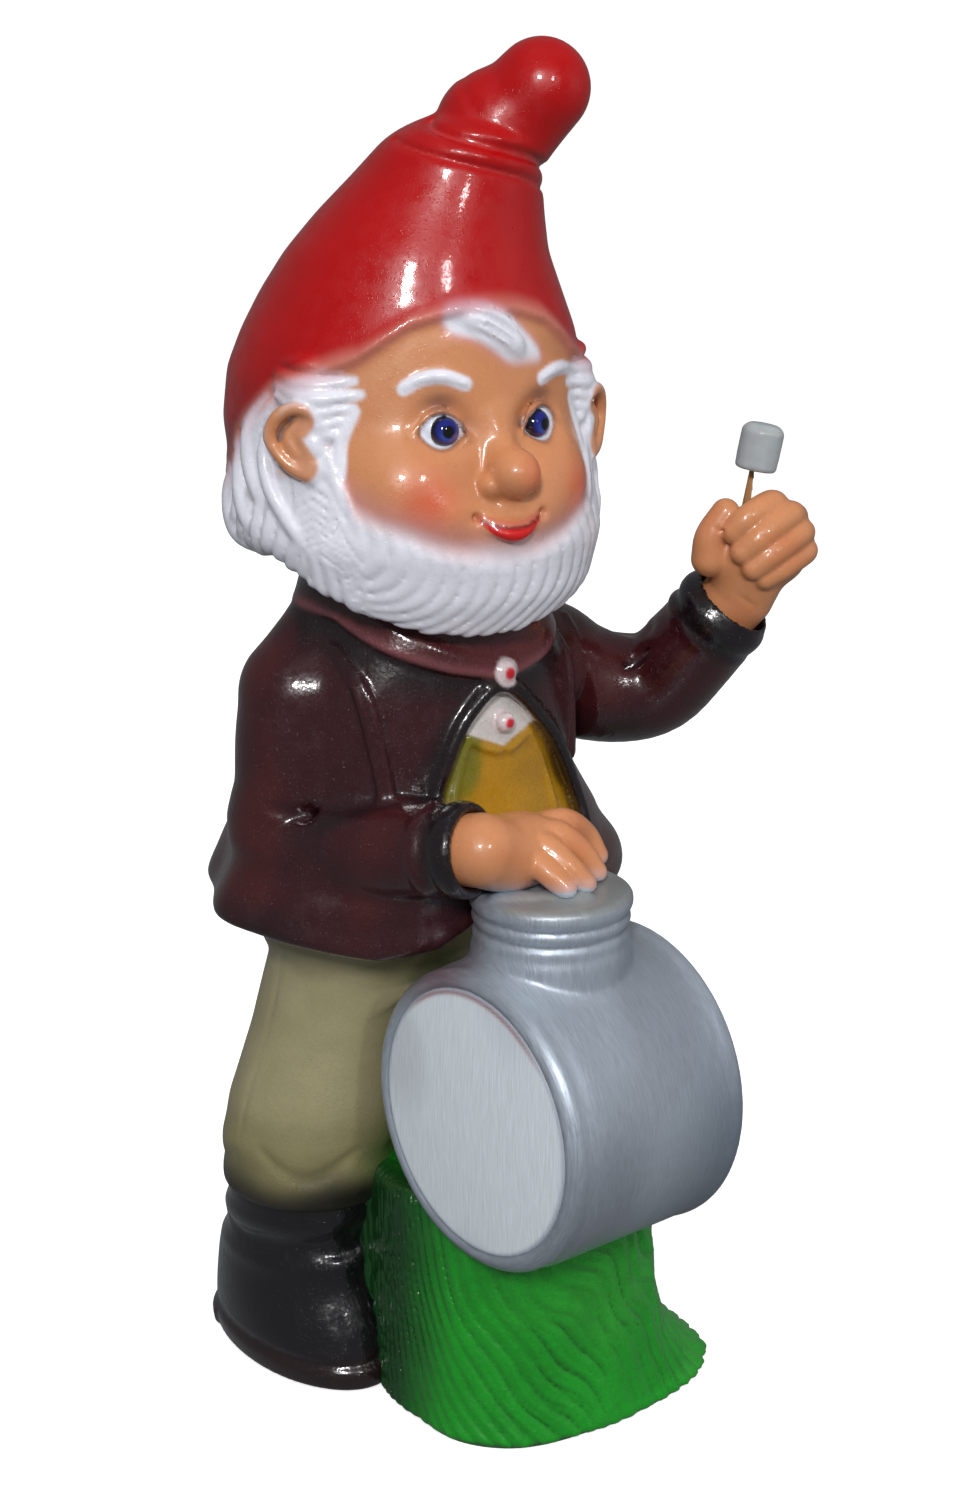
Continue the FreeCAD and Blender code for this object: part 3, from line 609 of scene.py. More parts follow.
def add_cheek(clay, side):
    """A plump cheek."""
    clay.add(egg(head.at(side * 27, 418, -15), (23, 21, 21)), 12)
    clay.add(egg(head.at(side * 16, 409, -10), (14, 14, 11)), 9)


def ear_spot(turn, height, lift):
    """A place on the ear, given round its middle before it is sized."""
    return (EAR_TURN + (turn - 66) * EAR_SIZE, EAR_HEIGHT + (height - 433) * EAR_SIZE, lift * 0.85)


def add_ear(clay, side):
    """An ear: plate, rolled rim, inner fold, lobe and bowl."""
    def fold(points, radii, count=0):
        places = on_head([ear_spot(*p) for p in points], 0, side)
        return tube(places, [EAR_SIZE * r for r in radii], count)

    clay.add(fold([(59, 445, 1), (66, 434, 2), (62, 421, 1)], [7, 10, 7]), 4)
    rim = [
        (56, 443, 3), (58, 450, 6), (64, 453, 9), (71, 448, 11), (75, 437, 11), (73, 427, 9), (68, 419, 6),
        (61, 415, 3),
    ]  # fmt: skip
    clay.carve(fold([(62, 443, 11), (65, 436, 12), (63, 426, 10)], [3.5, 5.5, 4.5], 8), 2)
    clay.add(fold(rim, [2.8, 3.4, 3.8, 4, 4, 3.8, 4.2, 4], 20), 1.5)
    clay.add(fold([(65, 444, 7), (68, 436, 8), (65, 427, 7)], [1.2, 2, 1.2], 8), 1.5)
    clay.add(fold([(57, 434, 4), (57, 430, 4)], [3, 2.6]), 2)


# Each lock: its middle line as (degrees, height, lift) and its radii.
SIDE_LOCKS = [
    ([(70, 466, 2), (60, 466, 3), (48, 464.5, 0)], [1.8, 3.4, 1.0]),
    ([(70, 462, 3), (58, 458.5, 4.2), (43, 460.5, 0)], [2.2, 3.6, 0.9]),
    ([(69, 458, 3.5), (56, 453.5, 5), (40.5, 455.5, 0)], [2.2, 3.6, 0.9]),
    ([(68, 454, 4), (56, 448.5, 4.6), (42.5, 450.5, 0)], [2.2, 3.4, 0.9]),
    ([(66, 451, 3), (54, 443.8, 3.4), (44, 446.5, 0)], [2.0, 3.1, 0.9]),
    ([(60, 444, 2), (51, 440, 2), (46, 442, 0)], [2.0, 2.8, 1.0]),
    ([(42, 449, 0), (47, 437, 0), (49, 423, 0), (55, 410, 0)], [1.2, 2.6, 3.0, 1.6]),
    ([(74, 454, 2), (82, 438, 3), (82, 418, 3), (72, 399, 1)], [2.0, 3.6, 4.2, 1.8]),
    ([(71, 444, 3), (75, 430, 4), (72, 414, 4), (64, 400, 1)], [1.6, 3.0, 3.6, 1.4]),
    ([(78, 426, 2), (73, 414, 3), (66, 402, 2), (61, 390, 0)], [1.8, 3.2, 3.6, 1.6]),
    ([(90, 436, 1), (92, 421, 3), (88, 405, 3.5), (78, 393, 1)], [2.0, 4.2, 5.0, 2.2]),
    ([(102, 424, 1), (105, 410, 3.5), (100, 397, 3), (90, 390, 0)], [2.6, 5.0, 5.4, 2.0]),
]


def add_side_hair(clay, side):
    """Locks that sweep from under the hat over the ear, the sideburn, and the locks behind."""
    for points, radii in SIDE_LOCKS:
        clay.add(tube(on_head(points, -1.0, side), radii, 16), 0.8)


EYE_SPREAD, EYE_HEIGHT, EYE_SHIFT = 1.0, 442.0, 3.3
EYE_ANGLE = 17.0 + EYE_SPREAD


def lid_line(points, side):
    """A lid's line for one side of the face."""
    return [(side * (angle + EYE_SPREAD) + EYE_SHIFT, height) for angle, height in points]


def add_eye_lids(clay, side):
    """A shallow socket, the eyeball's bulge and the two lids."""
    clay.carve(egg(head.at(side * (18 + EYE_SPREAD) + EYE_SHIFT, 444, 4.5), (13, 7, 8.5)), 6)
    middle = head.at(side * EYE_ANGLE + EYE_SHIFT, EYE_HEIGHT - 0.5, -6.8)
    clay.add(egg(middle, (9.6, 8.2, 7.6)), 1.5)
    upper = [(8.5, 438.5), (11.5, 445.6), (16.8, 449.4), (22, 447.2), (26, 440.5)]
    lower = [(8.5, 438.5), (12.5, 435.6), (17.3, 434.4), (22, 436.2), (26, 440.5)]
    clay.add(tube(on_head(lid_line(upper, side), 0.2), [0.7, 1.3, 1.5, 1.3, 0.7], 16), 1.4)
    clay.add(tube(on_head(lid_line(lower, side), -0.2), [0.7, 1.0, 1.0, 1.0, 0.7], 16), 1.4)
    fold = [(10, 446), (13, 451.5), (18, 453.5), (24, 450.5), (27, 445)]
    clay.carve(tube(on_head(lid_line(fold, side), 1.0), [0.3, 0.8, 0.8, 0.7, 0.3], 14), 2)


def add_nose_and_mouth(clay):
    """Button nose with wings, lips and the small mound round the mouth."""
    clay.add(tube([(0, -66, 445), (0.5, -70, 436), (1, -77, 428)], [4, 4.5, 7]), 7)
    clay.add(egg((1.5, -80.5, 425.5), (9.8, 10.5, 9.8)), 3)
    for side in (-1, 1):
        clay.add(egg((1.2 + side * 8.8, -76.5, 421), (4.8, 5.8, 4.8)), 0.8)
        clay.carve(egg((1.2 + side * 5.2, -83, 414.8), (2.4, 3.4, 2.0)), 1.2)
        fold = on_head([(side * 13, 422), (side * 13.6, 415), (side * 15, 409)], 1.2)
        clay.carve(tube(fold, [0.3, 0.9, 0.3], 8), 3)
    clay.add(egg((0, -69, 405.5), (17, 12.5, 11)), 8)
    clay.carve(tube([(0, -82.5, 414), (0, -83.5, 409.5)], [1.1, 1.7]), 3)
    corner_y, middle_y = -77.5, -83.5
    half = [(0, middle_y, 405.0), (7, -82, 405.8), (13.5, corner_y, 408.4)]
    smile = np.array([(-x, y, z) for x, y, z in half[:0:-1]] + half)
    upper = [p + (0, 0.6, 1.5) for p in smile]
    lower = [p + (0, 0.2, 0.09 * abs(p[0]) - 2.4) for p in smile]
    parting = [p - (0, 2.2, 0) for p in smile]
    clay.add(tube(upper, [0.6, 1.6, 1.7, 1.6, 0.6], 17), 1.4)
    clay.add(tube(lower, [0.6, 2.4, 3.3, 2.4, 0.6], 17), 1.4)
    clay.carve(tube(parting, [0.3, 0.8, 0.8, 0.8, 0.3], 17), 0.8)
    for side in (-1, 1):
        clay.carve(egg((side * 14.6, corner_y - 1, 409), (1.6, 2.2, 1.8)), 2)


# Each brow: its line as (degrees, height) and its radii.
BROWS = {
    -1: ([(-27, 458), (-22, 461.5), (-15, 462.4), (-7.5, 459.4)], [1.0, 2.0, 2.4, 1.6]),
    1: ([(23, 459), (30, 461.5), (38, 461.5), (46, 459)], [1.5, 2.3, 2.1, 1.1]),
}


def add_brows(clay):
    """Raised eyebrows with a groove of hair along each."""
    for points, radii in BROWS.values():
        clay.add(tube(on_head(points, -0.2), radii, 14), 1.0)
        clay.carve(tube(on_head(points, 2.6), [0.2, 0.5, 0.5, 0.2], 12), 1.0)


# The forehead lock's line, as (degrees, height).
CURL = [(-9, 485), (0, 482), (9, 475.5), (17, 466.5)]


def add_curl(clay):
    """The lock of hair on the forehead."""
    clay.add(tube(on_head(CURL, -3.6), [5.0, 8.4, 7.8, 2.6], 16), 1.0)
    for shift in (-4.5, -1.4, 1.8, 4.8):
        line = [(a + 0.55 * shift, z + shift * 0.9, 4.2 - 0.11 * shift**2) for a, z in CURL]
        clay.carve(tube(on_head(line), [0.3, 1.1, 1.1, 0.3], 14), 1.4)


def near_path(x, y, z, points):
    """Distance of points from a smooth path, mm."""
    return tube(points, 0.0, 4 * len(points)).distance(x, y, z)


def spray_head(x, y, z, depth):
    """Skin, white hair, red hat, lips, cheeks and the shading sprayed between them: painted shade in the
    face's hollows, above the eyes, in the hair's grooves and low on the hat's sides.
    """
    angle = head.around(x, y, z)
    away = np.abs(angle)
    rim, top = rim_height(angle), beard_height(angle)
    patchy = wobble(x, y, z, 14, 11)
    paint = coat_of(SKIN, x)
    # painted shade: ruddy brown in the face's hollows below the hat's edge
    paint = tint(paint, srgb(178, 104, 66), 0.45 * ramp(depth, 0.1, 0.9) * ramp(z, rim - 4, rim - 12))
    for where in (-22, 33):
        gap = away_from(x, y, z, head.at(where, 415.5, 5))
        paint = tint(paint, ROSY, 0.75 * np.exp(-((gap / 11) ** 2)))
    nose = away_from(x, y, z, (7, -87, 425))
    paint = tint(paint, ROSY, 0.55 * np.exp(-((nose / 7.5) ** 2)))
    for side in (-1, 1):
        # painted shade: dark brown over each eye under the brow, and at its inner corner
        lid = head.at(side * (18 + EYE_SPREAD) + EYE_SHIFT, 452.5, 1)
        gap = away_from((x - lid[0]) / 1.5, (y - lid[1]) / 1.5, z - lid[2], (0, 0, 0))
        paint = tint(paint, srgb(92, 60, 62), 0.7 * np.exp(-((gap / 4.6) ** 2)))
        gap = away_from(x, y, z, head.at(side * (9.5 + EYE_SPREAD) + EYE_SHIFT, 443, 1))
        paint = tint(paint, srgb(112, 66, 56), 0.5 * np.exp(-((gap / 4.2) ** 2)))
    hair = ramp(z, top + 7 + 2 * patchy, top - 8 + 2 * patchy) * ramp(away, 64, 56)
    hair = np.maximum(hair, ramp(z, 410, 396) * ramp(away, 40, 50))
    hair = np.maximum(hair, ramp(z, 428, 421) * ramp(away, 50, 57))
    ear = ear_mask(x, y, z)
    hair = np.maximum(hair, ramp(away, 64, 72) * ramp(z, rim + 3, rim - 6))
    locks = 0.0
    for side in (-1, 1):
        for points, radii in SIDE_LOCKS:
            gap = tube(on_head(points, -1.0, side), radii, 16).distance(x, y, z)
            locks = np.maximum(locks, ramp(gap, 2.2, 0.2))
    hair = np.maximum(hair, locks * ramp(z, rim + 6, rim))
    hair = hair * (1 - 0.94 * ear)
    blush = ramp(z, top + 16, top - 2) * ramp(away, 60, 50)
    paint = tint(paint, PINK, 0.55 * blush * (1 - ear))
    paint = tint(paint, HAIR, hair)
    for points, radii in BROWS.values():
        gap = near_path(x, y, z, on_head(points, 1.5))
        paint = tint(paint, HAIR, ramp(gap, 3.9, 2.2))
    gap = near_path(x, y, z, on_head(CURL, 1.0))
    paint = tint(paint, PINK, 0.5 * ramp(gap, 12, 7) * ramp(z, 462, 468))
    paint = tint(paint, HAIR, ramp(gap, 9.5, 5.5) * ramp(z, 463, 470))
    white = np.maximum(hair, ramp(gap, 10, 7))
    # painted shade: mauve in the grooves of the white hair
    groove = ramp(depth, 0.15, 1.0) * white
    paint = tint(paint, srgb(176, 150, 172), 0.55 * groove)
    stain = ramp(wobble(x, y, z, 7, 23) + 0.6 * ramp(away, 90, 110), 0.9, 1.5) * hair * ramp(away, 76, 92)
    paint = tint(paint, srgb(170, 60, 80), 0.45 * stain)
    paint = spray_mouth_and_eyes(paint, x, y, z)
    edge = z - rim
    pinkish = ramp(edge, -9 - 6 * ramp(away, 60, 100), 6) * ramp(away + 60 * ramp(edge, -4, 3), 20, 60)
    paint = tint(paint, srgb(196, 96, 108), 0.6 * pinkish)
    paint = tint(paint, HAT_RED, ramp(edge, 1.0 + 1.5 * patchy, 9.5 + 1.5 * patchy))
    # painted shade: darker red low on the hat's sides and back
    paint = tint(paint, HAT_SHADE, 0.45 * ramp(edge, -2, 5) * ramp(edge, 26, 6) * ramp(away, 60, 100))
    crease = ramp(depth, 0.15, 0.9) * ramp(z, 528, 536)
    return tint(paint, srgb(214, 120, 120), 0.55 * crease * ramp(z, 562, 554))


def ear_mask(x, y, z):
    """1 on the bare skin of either ear."""
    mask = 0.0
    for side in (-1, 1):
        spots = [ear_spot(*p) for p in ((63, 446, 8), (68, 436, 9), (64, 421, 6))]
        gap = near_path(x, y, z, on_head(spots, 0, side))
        mask = np.maximum(mask, ramp(gap, 11 * EAR_SIZE, 8 * EAR_SIZE))
    return mask


def spray_mouth_and_eyes(paint, x, y, z):
    """Red lips and white round the irises."""
    level = 405.0 + 0.0186 * x**2
    width = 1 - (x / 14.2) ** 2
    front = ramp(y, -74, -77) * ramp(width, 0, 0.25)
    lower = ramp(z, level - 6.6 * width, level - 5.4 * width) * ramp(z, level + 0.8, level - 0.2)
    upper = ramp(z, level - 0.4, level + 0.4) * ramp(z, level + 3.4, level + 2.2)
    paint = tint(paint, LIP, front * lower)
    paint = tint(paint, srgb(198, 92, 70), 0.7 * front * upper)
    paint = tint(paint, srgb(96, 14, 14), 0.85 * front * ramp(np.abs(z - level), 0.9, 0.2))
    for side in (-1, 1):
        eye = head.at(side * (17.2 + EYE_SPREAD) + EYE_SHIFT, 441.6, 0)
        across = (x - eye[0]) * math.cos(math.radians(17)) + side * (y - eye[1]) * math.sin(math.radians(17))
        up = z - eye[2]
        oval = np.sqrt((across / 8.2) ** 2 + (up / (6.3 - 0.022 * across**2)) ** 2)
        front = ramp(y, -50, -58)
        paint = tint(paint, srgb(96, 56, 52), 0.55 * ramp(oval, 1.35, 1.05) * front)
        paint = tint(paint, srgb(222, 226, 238), ramp(oval, 1.1, 0.92) * front)
    return paint


sculpt(
    "head_with_hat_and_beard", head_clay(), spray_head, skin_paint, "head", ["head_shell"],
    turn=(NECK, HEAD_YAW),
)  # fmt: skip

# ------------------------------------------------------------------ eyes
EYE_RADIUS = 6.3
IRIS_HEIGHT = 441.4


def iris_material():
    """Smooth clear gloss over the sprayed iris."""
    m = Nodes("glass_like_eye")
    m.link(m.sprayed(), m.shader.inputs["Base Color"])
    m.link(m.range(m.noise(900, 2), 0.3, 0.7, 0.03, 0.08), m.shader.inputs["Roughness"])
    m.set(Coat_Weight=1.0, Coat_Roughness=0.02, IOR=1.52)
    return m.material


def add_eye(side, label, material):
    """One eye bead, looking a little to the gnome's left and up."""
    centre = head.at(side * (16.4 + EYE_SPREAD) + EYE_SHIFT, IRIS_HEIGHT, -2.5)
    straight = head.at(side * 14.0, IRIS_HEIGHT, 10) - head.at(side * 14.0, IRIS_HEIGHT, 0)
    gaze = unit(straight + np.array([1.6, 0, 0.6]))
    clay = Clay(centre - 8.5, centre + 8.5, 0.45)
    clay.add(egg(centre, (EYE_RADIUS, EYE_RADIUS, EYE_RADIUS)))

    def spray_eye(x, y, z, depth):
        """Iris with painted light in its lower part, darker outer ring and pupil, by the angle from the
        gaze.
        """
        ways = np.column_stack([x, y, z]) - centre
        ways = ways / np.linalg.norm(ways, axis=1)[:, None]
        off = np.degrees(np.arccos(np.clip(ways @ gaze, -1, 1)))
        # painted light: lighter blue in the lower part of the iris, where light shines through the dome
        iris_light = ramp(off, 46, 30) * ramp(z, centre[2] + 2, centre[2] - 3)
        paint = coat_of(srgb(24, 34, 120), x)
        paint = tint(paint, srgb(70, 96, 190), 0.6 * iris_light)
        paint = tint(paint, srgb(8, 8, 34), ramp(off, 44, 56))
        return tint(paint, srgb(3, 3, 5), ramp(off, 25, 21))

    sculpt(f"eye_{label}", clay, spray_eye, material, "head", [f"{label}_eye"],
           turn=(NECK, HEAD_YAW), relax=1)


eye_gloss = iris_material()
for side, label in SIDES:
    add_eye(side, label, eye_gloss)

# ------------------------------------------------------------------ jacket, waistcoat, right sleeve
HEM_LINE = ([0, 12, 22, 38, 60, 90, 120, 181], [244, 234, 225, 222.5, 229, 235, 237, 237])
torso = Stack([
    (6, 13, 212, 94, 68), (6, 13, 224, 96, 69), (6, 12, 236, 97, 70), (6, 11, 246, 95, 72),
    (6, 9, 264, 86, 71), (4, 6, 288, 70, 64), (3, 2, 315, 68, 60), (2, 0, 335, 66, 56),
    (1, -3, 350, 57, 52), (0, -5, 360, 50, 49), (0, -5, 392, 49, 49),
])  # fmt: skip
COLLAR_TOP = ([0, 15, 36, 65, 100, 181], [346, 350, 357.5, 368, 374, 376])
COLLAR_FOOT = ([0, 23, 44, 82, 120, 181], [337, 342, 348.7, 361.5, 365, 366])
# The jacket's front edges, as (x, height) from the hem up to where they cross.
RIGHT_FRONT = np.array([
    (10, 222), (-4, 250), (-20, 270), (-28.9, 289), (-25.7, 304.7), (-18.8, 321.4), (-6.7, 333.5), (1, 338),
])  # fmt: skip
LEFT_FRONT = np.array([
    (50, 230), (53, 246), (52, 262), (49, 279.6), (32.7, 306.5), (15.4, 324.7), (6, 333), (1, 338),
])  # fmt: skip
CUP = (58.0, 4.0, 325.0)
CUP_RADIUS = 28.0
WRIST = np.array([-33.0, -78, 277])
ARM_WAY = unit([31.0, -90, 15])


def on_torso(points, lift=0.0):
    """Points on the jacket's front from (x, z)."""
    out = []
    for x, z in points:
        middle, _, half, _ = torso.oval(z)
        turn = math.degrees(math.asin(np.clip((x - middle) / half, -1, 1)))
        out.append(torso.at(turn, z, lift))
    return out


def jacket_clay():
    """Jacket body with collar, lapels and hem, the front of shirt and waistcoat, and the right sleeve."""
    clay = Clay((-98, -98, 212), (108, 92, 392))
    x, y, z = clay.whole()
    field = torso.field(x, y, z)
    turn = torso.around(x, y, z)
    angle = np.abs(turn)
    lowest = np.interp(angle, *HEM_LINE)
    top, foot = np.interp(angle, *COLLAR_TOP), np.interp(angle, *COLLAR_FOOT)
    collar = ramp(z, foot - 1.2, foot + 1.2) * (1 - 0.75 * ramp(z, top - 3, top + 2))
    opening = front_gap(x, y, z, 1.6)
    hem = hump(z, lowest + 3.5, 6.5)
    folds = np.sin(turn * 0.135 + 1.1) * ramp(z, 285, 248) * ramp(angle, 60, 95)
    flare = ramp(z, 262, 238) * hump(turn, 62, 26)
    push = 2.8 * collar - 3.6 * opening + 1.6 * hem + 3.0 * folds + 6.5 * flare
    field = field - push - 0.5 * wobble(x, y, z, 26, 31)
    clay.field[:] = -smooth_min(-field, z - lowest, 5)
    add_front(clay)
    add_seams(clay)
    clay.carve(disc((0, -88, 238), (0, 0, 1), 34.2, 14, 1), 2)
    add_right_sleeve(clay)
    clay.carve(disc((CUP[0] + 30, CUP[1], CUP[2]), (1, 0, 0), CUP_RADIUS + 0.4, 30, 0.5))
    return clay


def edge_gap(x, z, edge):
    """Signed distance in x from a front edge of the jacket."""
    return x - np.interp(z, edge[:, 1], edge[:, 0])


def front_gap(x, y, z, soft):
    """1 in the open front between the two lapels."""
    between = ramp(edge_gap(x, z, RIGHT_FRONT), -soft, soft) * ramp(edge_gap(x, z, LEFT_FRONT), soft, -soft)
    return between * ramp(z, 337, 333) * ramp(y, -5, -15)


BUTTONS = ((1.0, 340.5, 5.2, 2.4), (2.6, 319.0, 4.4, -1.4))  # x, height, radius, lift


def add_front(clay):
    """Rolled lapel edges that cross over, buttons, waistcoat edge, seam and flaps."""
    lapels = (
        ([*RIGHT_FRONT[2:-1], (3, 335), (11, 329)], 0.2, [2.6, 2.8, 3, 3.2, 3.4, 3.2, 2.6]),
        ([*LEFT_FRONT[1:-1], (0, 335.5), (-7, 338)], 0.6, [2.6, 2.8, 3, 3.2, 3.4, 3.4, 3.2, 2.4]),
    )
    for points, lift, radii in lapels:
        clay.add(tube(on_torso(points, lift), radii, 24), 1.5)
    for x, z, radius, lift in BUTTONS:
        middle = on_torso([(x, z)], lift)[0]
        clay.add(egg(middle, (radius, 3.4, radius)), 0.8)
        for k in range(12):
            turns = [2 * math.pi * (k + step) / 12 for step in (0, 1)]
            ring = [middle + (math.cos(t) * radius * 0.62, -3.3, math.sin(t) * radius * 0.62) for t in turns]
            clay.carve(tube(ring, [0.55, 0.55]), 0.6)
    neckline = [(-15, 314.5), (-8, 309.5), (2.4, 306.5), (10, 308), (18, 312)]
    clay.add(tube(on_torso(neckline, -3.6), [1.6, 1.7, 1.8, 1.7, 1.6], 16), 1.2)
    notch = [(-13, 318), (-6, 313.5), (2.4, 310.3), (9, 311.5), (15, 315)]
    clay.carve(tube(on_torso(notch, -2.6), [0.5, 0.9, 0.9, 0.9, 0.5], 14), 1)
    clay.carve(tube(on_torso([(2.6, 306), (3.4, 280), (4, 250)], -2.4), [1.1, 1.1, 1.1]), 1.4)
    clay.add(tube(on_torso([(19, 311), (30, 292), (36, 268)], -3.4), [1.5, 1.8, 1.8], 10), 1.5)
    clay.add(tube(on_torso([(-15.5, 312), (-21, 290), (-24, 268)], -3.4), [1.3, 1.5, 1.5], 10), 1.5)


def add_seams(clay):
    """Armhole seams, the lower panel ridge, the back seam, the waist darts and the half belt."""
    armhole = [(54, -14, 352), (53.5, -30, 336), (52.5, -36, 317), (51, -41, 293)]
    for side, middle in ((-1, 0), (1, 4)):
        for shift in (0.0, 3.4):
            line = [(middle + side * (x - shift), y - 0.6 * shift, z) for x, y, z in armhole]
            clay.add(tube([snap_to_torso(p, 0.9) for p in line], [1.2, 2.1, 2.1, 1.9], 18), 1.0)
    ridge = [snap_to_torso(p, 0.4) for p in ((-51, -41, 292), (-42, -47, 289.5), (-31, -55, 288))]
    clay.add(tube(ridge, [1.8, 2.3, 1.8], 10), 1.4)
    back = [torso.at(180, z, 0.8) for z in (356, 330, 300, 270, 244)]
    clay.carve(tube(back, [0.5, 1, 1, 1, 1.2], 16), 1.8)
    for turn in (-128, 128):
        dart = [torso.at(turn + 4 * k, z, 1.2) for k, z in enumerate((300, 280, 262))]
        clay.carve(tube(dart, [0.4, 1.3, 0.6], 10), 3)
    belt = [torso.at(a, 282 + 2.0 * math.cos(math.radians(a - 180) * 3), 0.4) for a in range(146, 216, 8)]
    clay.add(tube(belt, 2.6, 24), 1.5)


def snap_to_torso(point, lift):
    """The point of the jacket's skin at the same turn and height."""
    turn = float(torso.around(*point))
    return torso.at(turn, point[2], lift)


def add_right_sleeve(clay):
    """The bent sleeve with wrinkles at the elbow and a thick rolled cuff."""
    clay.add(tube([(-40, 10, 349), (-56, 9, 332)], [19.5, 21.5]), 10)
    path = [
        (-56, 8, 326), (-58.5, 8, 309), (-60.5, 8, 290), (-63, 9, 268), (-51, -25, 268.5), (-37, -66, 275),
    ]  # fmt: skip
    clay.add(tube(path, [24, 24, 23.2, 22.6, 20.5, 18.2], 24), 5)
    creases = [
        [(-47, -6, 287), (-57, -14, 283), (-70, -14, 283), (-80, -6, 286)],
        [(-44, -16, 282), (-55, -22, 279), (-66, -22, 278)],
    ]
    for line in creases:
        clay.carve(tube(line, [0.5] + [1.8] * (len(line) - 2) + [0.5], 16), 5)
    roll = WRIST - ARM_WAY * 4.5
    clay.add(disc(roll, ARM_WAY, 19.8, 5.4, 4.2), 3)
    clay.add(disc(roll - ARM_WAY * 13, ARM_WAY, 19.3, 2.0, 1.8), 4)
    clay.carve(disc(WRIST + ARM_WAY * 4, ARM_WAY, 15.6, 8, 3), 2)


def maroon(x, depth, patchy):
    """Patchy maroon with black sprayed into the creases as painted shade."""
    paint = tint(coat_of(JACKET, x), srgb(84, 28, 28), 0.35 * ramp(patchy, 0.1, 0.9))
    # painted shade: black in the creases
    return tint(paint, BLACK, 0.85 * ramp(depth, 0.12, 0.7))


def spray_jacket(x, y, z, depth):
    """Maroon gloss with black as painted shade in the creases, below the collar and where the right forearm
    lies, black at the hem, front edges and cuff, collar with a painted highlight, shirt, waistcoat and
    buttons.
    """
    away = np.abs(torso.around(x, y, z))
    field = torso.field(x, y, z)
    on_body = ramp(field, 9, 6)
    top, foot = np.interp(away, *COLLAR_TOP), np.interp(away, *COLLAR_FOOT)
    patchy = wobble(x, y, z, 18, 41)
    paint = maroon(x, depth, patchy)
    # painted shade: black on the jacket just below the collar
    under = ramp(z, foot - 20 - 4 * patchy, foot - 3) * ramp(z, foot + 2, foot - 1) * on_body
    paint = tint(paint, BLACK, 0.8 * under)
    paint = tint(paint, BLACK, 0.7 * ramp(z, 250 + 5 * patchy, 236) * on_body * ramp(away, 45, 80))
    # painted shade: black on the jacket where the right forearm lies against it
    waist = hump(z, 284 + 0.05 * x, 11) * ramp(x, -15, -40) * ramp(y, 0, -30) * on_body
    paint = tint(paint, BLACK, 0.8 * waist)
    for edge in (RIGHT_FRONT, LEFT_FRONT):
        near = ramp(np.abs(edge_gap(x, z, edge)), 14, 3)
        paint = tint(paint, BLACK, 0.85 * near * ramp(z, 338, 330) * on_body * ramp(y, -20, -34))
    collar = ramp(z, foot - 0.5, foot + 2.5) * on_body
    paint = tint(paint, COLLAR, 0.8 * collar * ramp(patchy, -1.4, 0.2))
    # painted highlight: a pinkish band along the collar's lower part
    paint = tint(paint, srgb(168, 104, 110), 0.3 * collar * hump(z, foot + 2.5, 2.5))
    paint = tint(paint, srgb(70, 28, 34), ramp(z, top + 2, top + 6))
    near_wrist = ramp(away_from(x, y, z, WRIST) ** 2, 34**2, 26**2)
    paint = tint(paint, BLACK, 0.9 * ramp(past(x, y, z, WRIST, ARM_WAY), -18, -9) * near_wrist)
    gap = front_gap(x, y, z, 0.8) * on_body
    inside = gap * ramp(field, 0.6, -1.6)
    vest = coat_of(OCHRE, x)
    vest = tint(vest, OLIVE, 0.9 * ramp(wobble(x, y, z, 15, 43) - x / 30, 0.2, 1.0))
    # painted shade: dark along the lapel edges and in the waistcoat's creases
    vest = tint(vest, srgb(52, 40, 20), 0.85 * ramp(np.abs(edge_gap(x, z, LEFT_FRONT)), 9, 2))
    vest = tint(vest, srgb(92, 78, 20), 0.7 * ramp(np.abs(edge_gap(x, z, RIGHT_FRONT)), 6, 1))
    vest = tint(vest, srgb(120, 84, 20), 0.6 * ramp(depth, 0.1, 0.6))
    paint = paint * (1 - inside[:, None]) + vest * inside[:, None]
    notch = 307 + 0.42 * np.abs(x - 2.4)
    paint = tint(paint, SHIRT, inside * ramp(z, notch + 1.0, notch + 2.6))
    for bx, bz, radius, _ in BUTTONS:
        gap = np.sqrt((x - bx) ** 2 + (z - bz) ** 2)
        front = ramp(y, -49, -52)
        paint = tint(paint, srgb(224, 206, 208), front * ramp(gap, radius + 1.4, radius - 0.2))
        paint = tint(paint, srgb(206, 24, 40), front * ramp(gap, radius * 0.62, radius * 0.36))
    return paint


sculpt("jacket_with_collar_and_waistcoat", jacket_clay(), spray_jacket, jacket_paint, "figure",
       ["torso_shell", "right_arm_shell"])

# ------------------------------------------------------------------ raised left sleeve
LEFT_WRIST = np.array([128.0, -58, 350])
FIST_WAY = unit([14.0, -36, 41])


